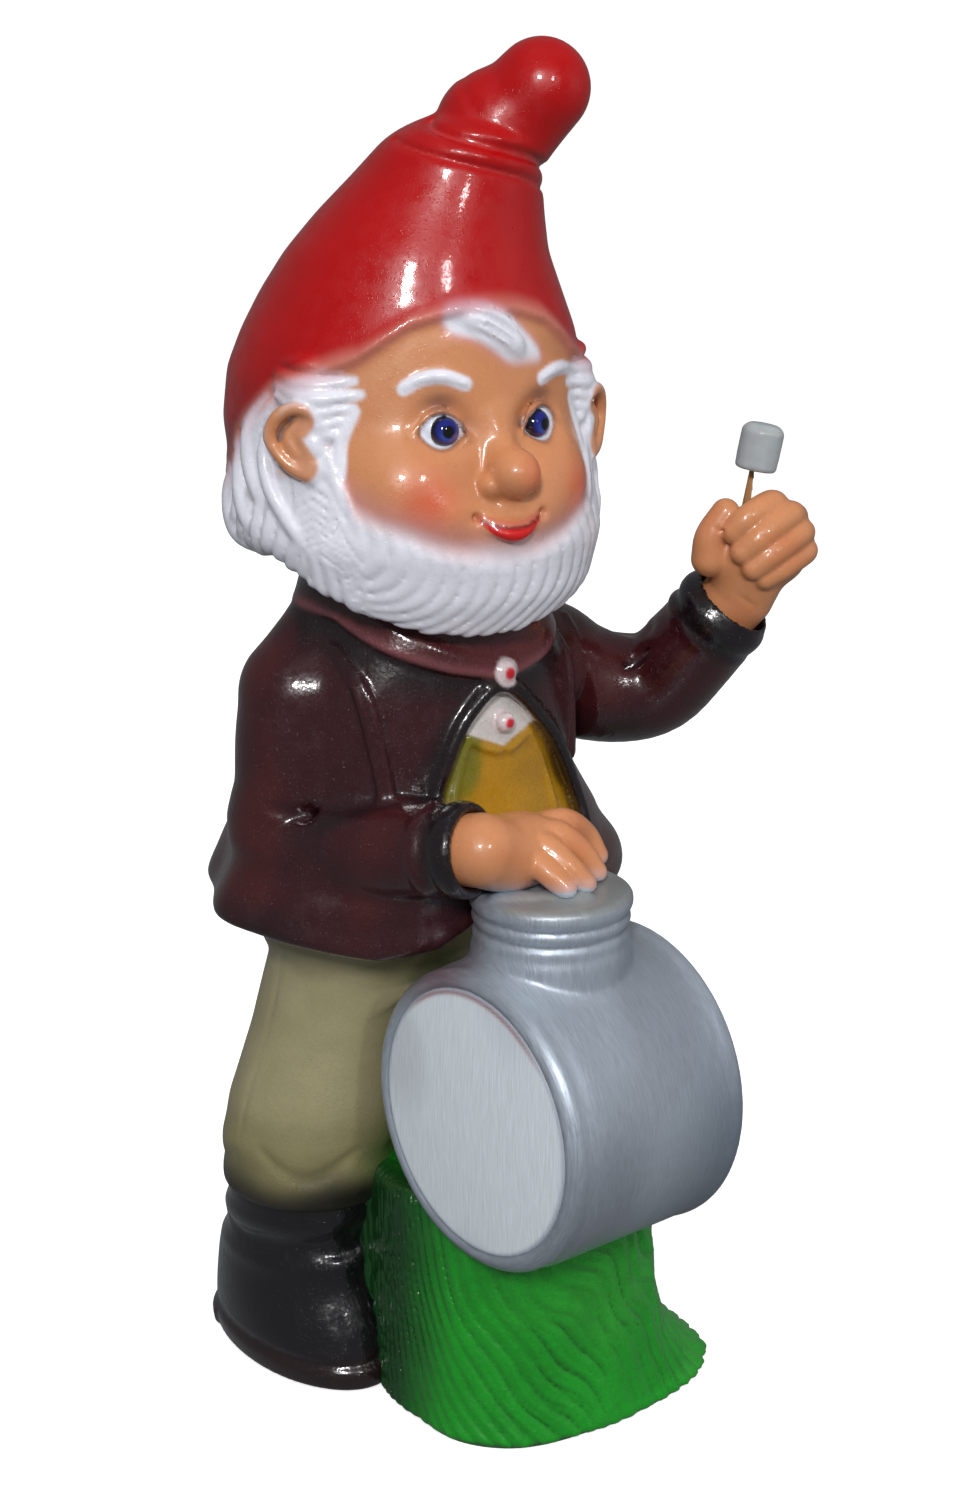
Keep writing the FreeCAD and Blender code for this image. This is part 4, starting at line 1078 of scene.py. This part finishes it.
def left_sleeve_clay():
    """The swinging sleeve: its flat root sits in the jacket's cup, a rolled cuff at the wrist."""
    clay = Clay((56, -82, 276), (152, 36, 372))
    path = [
        (62, 4, 325), (74, 3, 323), (87, -3, 314), (104, -14, 309), (116, -26, 312), (122, -41, 328),
        (127, -56, 347),
    ]  # fmt: skip
    clay.add(tube(path, [CUP_RADIUS, 27.5, 26.5, 25, 23.5, 22, 20.6], 28), 3)
    for line, deep in (
        ([(100, 0, 334), (108, -14, 336), (112, -30, 335)], 2.2),
        ([(88, -22, 318), (98, -32, 324), (104, -38, 332)], 1.4),
        ([(104, -34, 340), (108, -24, 345), (116, -14, 342)], 1.6),
    ):
        clay.carve(tube(line, [0.5, deep, 0.5], 12), 5)
    roll = LEFT_WRIST - FIST_WAY * 3.5
    clay.add(disc(roll, FIST_WAY, 22.2, 5.2, 4.2), 2)
    clay.add(disc(roll - FIST_WAY * 10, FIST_WAY, 21.2, 1.4, 1.4), 3)
    clay.carve(disc(LEFT_WRIST + FIST_WAY * 5, FIST_WAY, 17.5, 8.5, 3), 2)
    x, y, z = clay.whole()
    reach = np.sqrt((y - CUP[1]) ** 2 + (z - CUP[2]) ** 2)
    inside = np.maximum(clay.field, reach - CUP_RADIUS - 3 * np.maximum(x - 76, 0))
    clay.field[:] = np.maximum(inside, CUP[0] + 0.4 - x)
    seam_radius = CUP_RADIUS - 0.6
    turns = np.linspace(2.2, 5.6, 14)
    seam = [(74, CUP[1] + seam_radius * math.cos(t), CUP[2] + seam_radius * math.sin(t)) for t in turns]
    clay.add(tube(seam, 1.0), 1.2)
    return clay


def spray_left_sleeve(x, y, z, depth):
    """Maroon gloss with painted shade in the creases and low on the sleeve's underside, and black at the
    cuff.
    """
    patchy = wobble(x, y, z, 18, 51)
    paint = maroon(x, depth, patchy)
    # painted shade: black low on the sleeve's underside
    paint = tint(paint, BLACK, 0.6 * ramp(z, 312, 296) * ramp(patchy, -1, 0.6))
    return tint(paint, BLACK, 0.92 * ramp(past(x, y, z, LEFT_WRIST, FIST_WAY), -17, -9))


sculpt("left_sleeve", left_sleeve_clay(), spray_left_sleeve, jacket_paint, "left_arm",
       ["left_arm_shell"])

# ------------------------------------------------------------------ left fist
GRIP = np.array([124.6, -66.3, 376.0])
STICK_WAY = np.array([0.1436, -0.1122, 0.9833])
STICK_RADIUS = 2.25
HAND_STEP = 0.9  # sculpting step of the hands, mm
ACROSS = np.array([0.788, -0.616, 0.0])
NEAR = np.array([-0.616, -0.788, 0.0])


def at_fist(across, height, near):
    """A place in the fist: mm across from the stick, real height, and mm out to the front."""
    base = GRIP + STICK_WAY * (height - GRIP[2])
    return base + ACROSS * across + NEAR * near


def left_fist_clay():
    """Palm, wrist, four curled fingers side by side and an upright thumb, bored for the stick."""
    clay = Clay((98, -100, 334), (158, -34, 408), HAND_STEP)
    wrist = [LEFT_WRIST - FIST_WAY * 6, LEFT_WRIST + FIST_WAY * 9, at_fist(8, 372, -2)]
    clay.add(tube(wrist, [15.5, 15, 17]), 3)
    clay.add(egg(at_fist(10, 380, -3), (17, 17, 17)), 4)
    clay.add(egg(at_fist(19, 377, -1), (12, 12, 14)), 5)
    clay.add(egg(at_fist(-6, 376, 0), (10, 10, 11)), 5)
    fingers = [
        ([(14, 395, -3), (9, 398, 5), (0, 393.5, 11), (-5.5, 387, 11)], [6.0, 6.2, 6.0, 5.2]),
        ([(22, 391, -3), (17, 393, 7), (7, 386, 13.5), (0, 378.5, 13.5)], [6.2, 6.4, 6.2, 5.4]),
        ([(27, 384, -4), (23.5, 385, 6), (13.5, 378.5, 13.5), (6, 371.5, 14)], [6.0, 6.2, 6.0, 5.2]),
        ([(30, 376, -5), (28, 376.5, 3.5), (19.5, 371.5, 11), (12.5, 366.5, 12)], [5.6, 5.8, 5.4, 4.8]),
    ]
    for places, radii in fingers:
        path = [at_fist(*p) for p in places]
        clay.add(tube(path, radii, 14), 1.1)
        knuckle = [path[2] + ACROSS * s * 0.6 - np.array([0, 0, s * 0.7]) + NEAR * 6.2 for s in (-5, 0, 5)]
        clay.carve(tube(knuckle, [0.2, 0.6, 0.2]), 0.8)
    thumb = [at_fist(-12, 374, 4), at_fist(-13.5, 384, 5), at_fist(-9.5, 394.5, 5)]
    clay.add(tube(thumb, [8, 7.0, 6.2], 12), 1.2)
    joint = [at_fist(-14, 389, 11.5), at_fist(-10, 387.5, 12), at_fist(-7, 388.5, 11)]
    clay.carve(tube(joint, [0.3, 0.8, 0.3], 6), 1)
    for low in (0.0, 5.0):
        line = [at_fist(-13 + 4 * s, 368 - low - 2.4 * s, 12.5 - abs(s - 3)) for s in range(7)]
        clay.carve(tube(line, [0.3, 0.8, 0.9, 0.9, 0.9, 0.7, 0.3], 14), 1.6)
    clay.carve(tube([GRIP - STICK_WAY * 45, GRIP + STICK_WAY * 40], [STICK_RADIUS + 0.45] * 2), 0.6)
    return clay


def spray_hand(x, y, z, depth):
    """Skin colour with ruddy patches, and dark ruddy brown in the creases as painted shade."""
    paint = coat_of(SKIN, x)
    paint = tint(paint, srgb(196, 112, 72), 0.35 * ramp(wobble(x, y, z, 10, 61), 0, 1))
    # painted shade: dark ruddy brown in the creases
    return tint(paint, srgb(124, 60, 38), 0.8 * ramp(depth, 0.08, 0.75))


sculpt("left_fist", left_fist_clay(), spray_hand, skin_paint, "left_arm", ["left_hand"])

# ------------------------------------------------------------------ right hand on the cymbals
CYMBAL_AXIS = (0.0, -88.0)
CYMBAL_TOP = 257.0
# The fingers from the index finger on, each from its knuckle to its tip.
RIGHT_FINGERS = [
    [(2, -76, 279), (12.7, -80.5, 280), (25, -80, 272), (30, -82.7, 262.5)],
    [(-4, -80, 277), (4, -86, 278), (12.5, -92, 270), (17.2, -96, 261.5)],
    [(-12, -81, 274), (-5.5, -89, 275.5), (-1, -98, 269), (4.2, -104, 261.5)],
    [(-18, -80, 270), (-12.5, -86, 272.5), (-9.5, -96, 267.5), (-5.5, -103, 261)],
]


def right_hand_clay():
    """Domed back of the hand and four fingers spread on the upper cymbal."""
    clay = Clay((-56, -136, 255), (42, -50, 300), HAND_STEP)
    clay.add(tube([WRIST - ARM_WAY * 6, WRIST + ARM_WAY * 4, (-18, -79, 272)], [14.5, 15.0, 15.5]), 3)
    clay.add(egg((-7, -76, 271), (18, 15, 16)), 6)
    clay.add(egg((2, -82, 271), (14, 10, 11)), 6)
    for path in RIGHT_FINGERS:
        clay.add(tube(path, [5.6, 6.0, 5.4, 4.6], 14), 1.0)
    clay.add(tube([(4, -66, 268), (16, -66, 266), (23, -71, 261)], [6.6, 6.0, 4.8], 8), 2)
    z = clay.whole()[2]
    clay.field[:] = -smooth_min(-clay.field, z - CYMBAL_TOP - 0.4, 2.5)
    return clay


def spray_right_hand(x, y, z, depth):
    """Skin colour with silver smeared along the lower edge."""
    paint = spray_hand(x, y, z, depth)
    level = CYMBAL_TOP + 2.6 + 1.8 * wobble(x, y, z, 12, 71)
    paint = tint(paint, srgb(206, 170, 168), 0.7 * ramp(z, level + 6.5, level + 0.5))
    return tint(paint, SILVER, ramp(z, level + 1.0, level - 0.6))


sculpt("right_hand_on_cymbals", right_hand_clay(), spray_right_hand, skin_paint, "figure",
       ["right_hand"])

# ------------------------------------------------------------------ drum and cymbals
DRUM = np.array([4.0, -87.0, 164.5])
HALF_WIDTH, DRUM_RADIUS, SKIN_RADIUS = 47.0, 66.0, 56.5
# Discs on the drum, as (height, radius, half thickness, rounding).
CYMBAL_STACK = (
    (236, 30.6, 16, 3), (239.2, 32.0, 2.0, 1.9), (245.6, 32.6, 2.6, 2.4), (252.8, 33.4, 4.3, 3.6),
)  # fmt: skip


def drum_reach(y, z):
    """Distance from the drum's axis."""
    return np.sqrt((y - DRUM[1]) ** 2 + (z - DRUM[2]) ** 2)


def drum_clay():
    """Drum shell with rounded hoops, and the stack of cymbals growing out of its top."""
    clay = Clay((-48, -158, 92), (56, -16, 263))
    x, y, z = clay.whole()
    out = np.abs(x - DRUM[0])
    barrel = drum_reach(y, z) - (DRUM_RADIUS - 1.3 + 0.4 * wobble(x, y, z, 30, 81))
    barrel = barrel + 0.9 * hump(x - DRUM[0], -37, 3.5) - 0.8 * ramp(out, 38, 42)
    right_end = -smooth_min(-barrel, x - DRUM[0] + HALF_WIDTH, 13)
    clay.field[:] = -smooth_min(-right_end, DRUM[0] + HALF_WIDTH - x, 4)
    for side in (-1, 1):
        recess = DRUM + (side * (HALF_WIDTH + 7), 0, 0)
        clay.carve(disc(recess, (1, 0, 0), SKIN_RADIUS, 10, 0.5), 2.5)
    for height, radius, half, soft in CYMBAL_STACK:
        clay.add(disc((*CYMBAL_AXIS, height), (0, 0, 1), radius, half, soft), 1.2)
    clay.add(disc((*CYMBAL_AXIS, 226), (0, 0, 1), 31, 8, 3), 9)
    for k in range(7):  # silver paint heaped along the fingers' edge
        spot = np.array([-26.0 + 4.6 * k, -86 - 2.5 * k - 0.14 * k * k, CYMBAL_TOP])
        clay.add(egg(spot, (4.5 + k % 2, 4 + k % 3, 2.6)), 2)
    return clay


def spray_drum(x, y, z, depth):
    """Silver with painted shade in the grooves and low on the gnome's left end, with a warm blush where the
    jacket was sprayed.
    """
    paint = coat_of(SILVER, x)
    paint = tint(paint, srgb(150, 156, 168), 0.6 * ramp(wobble(x, y, z, 24, 83), -0.4, 0.9))
    # painted shade: darker in the grooves
    paint = tint(paint, srgb(92, 88, 98), 0.75 * ramp(depth, 0.1, 0.7))
    # painted shade: bluish grey on the gnome's left end and low down
    paint = tint(paint, srgb(116, 130, 146), 0.7 * ramp(x, 0, 50) * ramp(z, 226, 150))
    warm = ramp(x, -18, -40) * ramp(z, 196, 222) * ramp(y, -96, -66)
    paint = tint(paint, srgb(138, 104, 112), 0.75 * warm)
    return tint(paint, srgb(150, 148, 132), 0.5 * ramp(z, 253, 256) * ramp(y, -84, -100))


silver_lacquer = grained(
    "silver_lacquer", (60, 4, (38, 2.2, 2.2), 0.6), (0.86, 1.12), (0.34, 0.52), 0.14, (520, 3, 0.08),
    Metallic=0.5, Coat_Weight=0.2, Coat_Roughness=0.25,
)  # fmt: skip
white_strokes = grained(
    "brushed_white_drumhead", (60, 5, (2, 16, 1.2), 0.65), (0.90, 1.06), (0.38, 0.6), 0.25,
    Coat_Weight=0.15, Coat_Roughness=0.3,
)  # fmt: skip
sculpt("drum_and_cymbals", drum_clay(), spray_drum, silver_lacquer, "figure",
       ["drum_shell", "lower_cymbal", "upper_cymbal"])


def drumhead_clay(side):
    """A drum skin that is a little crowned."""
    middle = DRUM + (side * 45, 0, 0)
    clay = Clay(middle - (5, 61, 61), middle + (5, 61, 61), 1.0)
    x, y, z = clay.whole()
    reach = drum_reach(y, z)
    crown = 1.6 * (1 - (reach / SKIN_RADIUS) ** 2) - 0.5
    out = side * (x - DRUM[0])
    flat = np.abs(out - 44.1) - 1.6 - crown * ramp(out, 42, 46)
    clay.field[:] = -smooth_min(-flat, SKIN_RADIUS - 0.1 - reach, 1.5)
    return clay


def spray_drumhead(x, y, z, depth):
    """Off-white with a reddish line at the top and a silver edge."""
    reach = drum_reach(y, z)
    paint = coat_of(srgb(234, 243, 250), x)
    paint = tint(paint, srgb(206, 212, 220), 0.6 * ramp(wobble(x, y, z, 22, 91), 0, 1))
    paint = tint(paint, SILVER, ramp(reach, SKIN_RADIUS - 3, SKIN_RADIUS - 0.7))
    return tint(paint, srgb(140, 50, 54), 0.7 * hump(reach, SKIN_RADIUS - 2.1, 1.0) * ramp(z, 196, 212))


for side, label in SIDES:
    sculpt(f"drumhead_{label}", drumhead_clay(side), spray_drumhead, white_strokes, "figure",
           [f"drum_head_{label}"])

# ------------------------------------------------------------------ trousers and boots
LEG_X = {"right": -26.0, "left": 38.0}
TROUSER_END = 84.5
GROUND = 0.8  # lowest height of a sculpted skin, above the base plate's underside


def leg_stack(x):
    """Trouser leg: baggy over the boot, leaning forward to the hip."""
    return Stack([
        (x - 1, 46, 78, 36, 36), (x - 1, 46, 86, 39.5, 39.5), (x - 2, 45, 101, 42.5, 42),
        (x - 2, 39, 131, 41, 41), (x - 1, 30, 168, 34, 37), (x, 20, 206, 31, 34), (x - 1, 15, 250, 32, 35),
    ])  # fmt: skip


def trouser_clay():
    """Both legs grown together at the seat, with sag folds above the boots."""
    clay = Clay((-76, -40, 78), (90, 96, 250))
    x, y, z = clay.whole()
    hips = Stack([(6, 16, 196, 40, 30), (6, 16, 214, 66, 47), (6, 14, 236, 70, 52), (6, 13, 250, 72, 54)])
    legs = []
    for leg_x in LEG_X.values():
        stack = leg_stack(leg_x)
        angle = stack.around(x, y, z)
        sag = np.sin((z - 92 + 0.10 * np.abs(angle)) / 4.6) * ramp(z, 124, 100) * ramp(z, 84, 90)
        legs.append(stack.field(x, y, z) - 0.9 * sag - 0.7 * wobble(x, y, z, 34, 101))
    field = smooth_min(*legs, 9)
    field = smooth_min(field, np.maximum(hips.field(x, y, z), 196 - z), 16)
    clay.field[:] = -smooth_min(-np.maximum(field, z - 246), z - TROUSER_END, 5)
    for leg_x in LEG_X.values():
        stack = leg_stack(leg_x)
        for start, stop, high, low in ((-70, -10, 116, 104), (20, 80, 112, 100), (-150, -95, 110, 100)):
            steps = np.linspace(0, 1, 6)
            heights = [high + (low - high) * math.sin(math.pi * t) for t in steps]
            line = [stack.at(start + (stop - start) * t, height, 1.0) for t, height in zip(steps, heights)]
            clay.carve(tube(line, [0.4, 1.4, 1.8, 1.8, 1.4, 0.4], 12), 5)
        side_seam = [stack.at(-92 if leg_x < 0 else 92, height, 0.9) for height in (234, 190, 150, 112)]
        clay.carve(tube(side_seam, 0.9, 12), 1.6)
    return clay


def spray_trousers(x, y, z, depth):
    """Olive beige that fades to black at the boots and green towards the grass."""
    patchy = wobble(x, y, z, 16, 103)
    paint = coat_of(TROUSER, x)
    paint = tint(paint, srgb(176, 168, 132), 0.5 * ramp(patchy, 0.1, 1))
    # painted shade: dark olive in the folds
    paint = tint(paint, srgb(84, 80, 52), 0.65 * ramp(depth, 0.15, 0.9))
    paint = tint(paint, srgb(118, 112, 60), 0.5 * ramp(z, 150, 110))
    green = ramp(z - 0.54 * (x + 10) * ramp(x, -40, 0), 140, 108) * ramp(y, 40, 20) * ramp(x, -40, -12)
    paint = tint(paint, srgb(44, 98, 26), 0.85 * green)
    # painted shade: dark just under the jacket's hem
    paint = tint(paint, srgb(46, 34, 40), 0.6 * ramp(z, 226, 238))
    return tint(paint, BLACK, 0.95 * ramp(z, 112 + 8 * patchy - 0.1 * (x + 30), 88 + 4 * patchy))


sculpt("trousers", trouser_clay(), spray_trousers, trouser_paint, "figure", ["legs_shell"])


def boot_clay(leg_x):
    """A work boot: thick sole, welt groove, rounded foot, ankle wrinkles."""
    clay = Clay((leg_x - 46, -14, 0.2), (leg_x + 46, 114, 96))
    stack = Stack([
        (leg_x - 4, 50, -3, 31, 54.5), (leg_x - 4, 50, 2, 32, 55.5), (leg_x - 4, 50, 9, 33.5, 56.5),
        (leg_x - 4, 52, 26, 33, 53), (leg_x - 3, 56, 44, 32, 47), (leg_x - 1, 54, 64, 34, 41),
        (leg_x - 1, 47, 84, 38, 38), (leg_x - 1, 46, 94, 35, 35),
    ])  # fmt: skip
    x, y, z = clay.whole()
    field = stack.field(x, y, z)
    angle = stack.around(x, y, z)
    wrinkle = np.sin((z + 0.06 * np.abs(angle)) / 3.9) * ramp(z, 46, 56) * ramp(z, 86, 76)
    welt = 1.5 * hump(z, 13.5, 1.8) - 0.7 * ramp(z, 12, 9)
    field = field + welt - wrinkle - 0.6 * wobble(x, y, z, 22, 111)
    heel = 1.6 * ramp(y, 84, 88) * ramp(z, 11, 8)
    clay.field[:] = -smooth_min(-np.maximum(field - heel, z - 91), z - GROUND, 2)
    for turn, high in ((-40, 66), (30, 70), (150, 62), (-120, 68)):
        line = [stack.at(turn + s * 13, high - 4 * math.sin(math.pi * s / 4), 1.0) for s in range(5)]
        clay.carve(tube(line, [0.3, 1.5, 1.8, 1.5, 0.3], 10), 4)
    return clay


def spray_boot(x, y, z, depth):
    """Black gloss, a trace of brown on the welt and green near the grass."""
    paint = coat_of(srgb(17, 14, 18), x)
    paint = tint(paint, srgb(44, 22, 22), 0.5 * ramp(z, 22, 8))
    # painted shade: near black in the creases
    paint = tint(paint, srgb(4, 4, 5), 0.8 * ramp(depth, 0.1, 0.6))
    green = ramp(x, -4, 8) * ramp(wobble(x, y, z, 9, 113), -0.4, 0.8) * ramp(y, 60, 10)
    return tint(paint, srgb(16, 62, 20), 0.7 * green)


for label, leg_x in LEG_X.items():
    sculpt(f"boot_{label}", boot_clay(leg_x), spray_boot, boot_paint, "figure", [f"{label}_boot"])

# ------------------------------------------------------------------ grass mound
# The mound's outlines at the ground and at the top, as (x, y).
FOOT = np.array([
    (-24, 2), (-33, -40), (-32, -62), (-14, -86), (15, -96), (50, -99), (88, -93),
    (110, -76), (118, -45), (114, 0), (98, 45), (70, 85), (30, 100), (-10, 96), (-22, 50),
], float)  # fmt: skip
CREST = np.array([
    (-22, 5), (-27, -34), (-26, -58), (-12, -79), (15, -88), (42, -91), (62, -84),
    (71, -62), (74, -34), (74, 2), (68, 34), (54, 60), (26, 68), (-2, 66), (-16, 40),
], float)  # fmt: skip
MOUND_CENTRE = np.array([30.0, -5.0])
MOUND_TOP = 107.0
# Heights, and how far the outline has gone from the foot to the crest there.
MOUND_LEVELS = ([0, 8.6, 26, 52, 84, 108], [0, 0.28, 0.6, 0.82, 0.95, 1.0])


def outline_reach(outline, turn):
    """Distance from the mound's centre to an outline at a turn in degrees."""
    arms = outline - MOUND_CENTRE
    turns = np.degrees(np.arctan2(arms[:, 1], arms[:, 0]))
    order = np.argsort(turns)
    reach = np.hypot(arms[:, 0], arms[:, 1])[order]
    return np.interp(turn, turns[order], reach, period=360)


def grass_clay():
    """The mound, combed into curved blades that fan down and outward."""
    clay = Clay((-42, -108, 0.2), (130, 108, 112))
    x, y, z = clay.whole()
    turn = np.degrees(np.arctan2(y - MOUND_CENTRE[1], x - MOUND_CENTRE[0]))
    reach = np.hypot(x - MOUND_CENTRE[0], y - MOUND_CENTRE[1])
    grown = np.interp(z, *MOUND_LEVELS)
    edge = outline_reach(FOOT, turn) * (1 - grown) + outline_reach(CREST, turn) * grown
    phase = blade_phase(x, y, z, turn)
    blades = ridges(phase, 0.6) - 1
    fine = ridges(phase * 2.3 + 0.4 * wobble(x, y, z, 11, 125), 0.8) - 1
    depth = 0.6 + 0.4 * ramp(wobble(x, y, z, 26, 127), -0.6, 0.5)
    fuller = ramp(turn, -75, -45) * ramp(turn, 40, 0)
    edge = edge + 1.6 + fuller * (3.5 + 3.5 * hump(z, 78, 34))
    field = (reach - edge) * 0.8 - depth * (1.7 * blades + 0.9 * fine)
    field = -smooth_min(-field, MOUND_TOP + 1.5 * blades - z, 6)
    clay.field[:] = -smooth_min(-field, z - GROUND, 4)
    return clay


def blade_phase(x, y, z, turn):
    """The blades' flow: they lean over as they fall."""
    lean = 0.36 * z * (0.3 + 0.7 * ramp(turn, -40, -110) * ramp(turn, -181, -150))
    return (turn + lean) / 5.2 + 1.5 * wobble(x, y, z, 40, 121) + 0.4 * wobble(x, y, z, 14, 123)


def spray_grass(x, y, z, depth):
    """Green with dark grooves, black airbrushing by the boot and dark green patches near the top."""
    patchy = wobble(x, y, z, 20, 131)
    paint = coat_of(GREEN, x)
    paint = tint(paint, srgb(52, 160, 50), 0.5 * ramp(patchy, 0, 0.9))
    # painted shade: dark green in the grooves between blades
    paint = tint(paint, DARK_GREEN, 0.8 * ramp(depth, 0.1, 0.6))
    paint = tint(paint, srgb(10, 40, 18), 0.9 * ramp(x, -4, -24) * ramp(y, -62, -20))
    return tint(paint, srgb(12, 50, 22), 0.5 * ramp(z, 88, 104) * ramp(patchy, -0.6, 0.6))


sculpt("grass_mound", grass_clay(), spray_grass, grass_paint, "figure", ["grass_base"])

# ------------------------------------------------------------------ mallet
def along(distance):
    """A point on the stick's axis above the middle of the grip."""
    return GRIP + STICK_WAY * distance


def plain_coat(colour):
    """A spray of one colour all over."""
    return lambda x, y, z, depth: coat_of(colour, x)


pale_wood = grained("pale_wood", (900, 4, (1, 1, 0.05), 0.6), (0.8, 1.12), (0.5, 0.7), 0.08)
cloudy_nylon = grained(
    "cloudy_nylon", (170, 3), (0.93, 1.06), (0.3, 0.44), 0.0, (800, 2, 0.04),
    Subsurface_Weight=0.25, Subsurface_Scale=0.004, Coat_Weight=0.15, Coat_Roughness=0.15,
)  # fmt: skip
BEATER_RISE = 46.3  # from the grip to the beater's middle
beater_clay = Clay(along(BEATER_RISE) - 17, along(BEATER_RISE) + 17, 0.6)
beater_clay.add(disc(along(45.3), STICK_WAY, 9.0, 9.0, 1.8))
beater_clay.add(disc(along(47.5), STICK_WAY, 8.8, 8.8, 4.0), 1)
beater_clay.carve(disc(along(36), STICK_WAY, 2.9, 3.0, 0.4), 0.5)
sculpt("mallet_beater", beater_clay, plain_coat(srgb(170, 176, 178)), cloudy_nylon, "mallet",
       ["mallet_head"])
stick_clay = Clay(along(-31) - 6, along(49) + 6, 0.55)
stick_clay.add(tube([along(-27.3), along(46)], [STICK_RADIUS, STICK_RADIUS]))
sculpt("mallet_stick_turned", stick_clay, plain_coat(srgb(178, 132, 84)), pale_wood, "mallet",
       ["mallet_stick"], relax=1)


# ------------------------------------------------------------------ parts carried over from the CAD
def plain_plastic(name, colour, rough, metal=0.0):
    """Moulded plastic or bright steel with a faint mottle and fine grain."""
    m = Nodes(name)
    tone = m.add("ShaderNodeValToRGB")
    tone.color_ramp.elements[0].color = (*(colour * 0.8), 1)
    tone.color_ramp.elements[1].color = (*np.minimum(colour * 1.15, 1), 1)
    m.link(m.noise(140, 3), tone.inputs["Fac"])
    m.link(tone.outputs["Color"], m.shader.inputs["Base Color"])
    m.link(m.range(m.noise(300, 2), 0.3, 0.7, rough * 0.8, rough * 1.2), m.shader.inputs["Roughness"])
    m.link(m.bump(m.noise(900, 2), 0.03), m.shader.inputs["Normal"])
    m.set(Metallic=metal)
    return m.material


for names, material in (
    (("base_plate", "filler_plug"), plain_plastic("green_base_plastic", srgb(36, 92, 44), 0.5)),
    (("right_eye_washer", "left_eye_washer"), plain_plastic("washer_steel", srgb(150, 150, 152), 0.3, 1.0)),
):
    for name in names:
        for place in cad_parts[name].material_slots:
            place.material = material

# ------------------------------------------------------------------ camera, light and floor
scene = bpy.context.scene


def stand(name, data, place, target=None):
    """Puts a camera, light or mesh in the scene, pointed at a target if there is one."""
    thing = bpy.data.objects.new(name, data)
    thing.location = place
    if target is not None:
        thing.rotation_euler = (Vector(target) - thing.location).to_track_quat("-Z", "Y").to_euler()
    scene.collection.objects.link(thing)
    return thing


camera = stand("camera", bpy.data.cameras.new("camera"), (-0.5726, -0.7328, 0.560), (0.0217, -0.0169, 0.295))
camera.data.lens = 54
camera.data.sensor_width = 36
camera.data.sensor_fit = "AUTO"
scene.camera = camera
scene.view_settings.view_transform = "Standard"

for label, place, size, power in (
    ("key", (-1.55, -1.6, 1.5), 0.3, 33),
    ("flash", (-0.35, -1.6, 1.1), 0.14, 4),
    ("fill", (1.6, -1.5, 0.9), 1.2, 11),
    ("rim", (0.9, 1.7, 1.4), 1.2, 7),
):
    light = stand(label, bpy.data.lights.new(label, "AREA"), place, (0, 0, 0.3))
    light.data.size = size
    light.data.energy = power
    light.visible_glossy = label in ("key", "flash")
sun = stand("sky_panel", bpy.data.lights.new("sky_panel", "SUN"), (0, 0, 0))
sun.data.energy = 1.1
sun.data.angle = math.radians(60)
sun.visible_glossy = False
sun.rotation_euler = (math.radians(12), math.radians(-16), 0)

world = bpy.data.worlds.new("studio")
scene.world = world
world.use_nodes = True
sky = world.node_tree.nodes["Background"]
sky.inputs["Color"].default_value = (0.93, 0.96, 1, 1)
sky.inputs["Strength"].default_value = 0.15

ROUND = 72  # points round the floor
BOWL = [(0.02, 0), (5, 0), (5.8, 0.12), (6.5, 0.5), (7, 1.1), (7.3, 2.0), (7.4, 3.4)]  # radius, height in m


def floor_mesh():
    """A round floor that curves up into a wall."""
    points = []
    for radius, height in BOWL:
        turns = [2 * math.pi * k / ROUND for k in range(ROUND)]
        points += [(radius * math.cos(t), radius * math.sin(t), height) for t in turns]
    faces = [tuple(range(ROUND))]
    for low in range(0, (len(BOWL) - 1) * ROUND, ROUND):
        for k in range(ROUND):
            after = (k + 1) % ROUND
            faces.append((low + k, low + after, low + ROUND + after, low + ROUND + k))
    mesh = bpy.data.meshes.new("floor")
    mesh.from_pydata(points, [], faces)
    for polygon in mesh.polygons:
        polygon.use_smooth = True
    look = Nodes("pale_floor")
    look.set(Base_Color=(0.9, 0.9, 0.9, 1), Roughness=0.8)
    look.set(Emission_Color=(1, 1, 1, 1), Emission_Strength=0.62)
    mesh.materials.append(look.material)
    return mesh


floor = stand("floor", floor_mesh(), (0, 0, 0))
floor.visible_diffuse = False
floor.visible_glossy = False
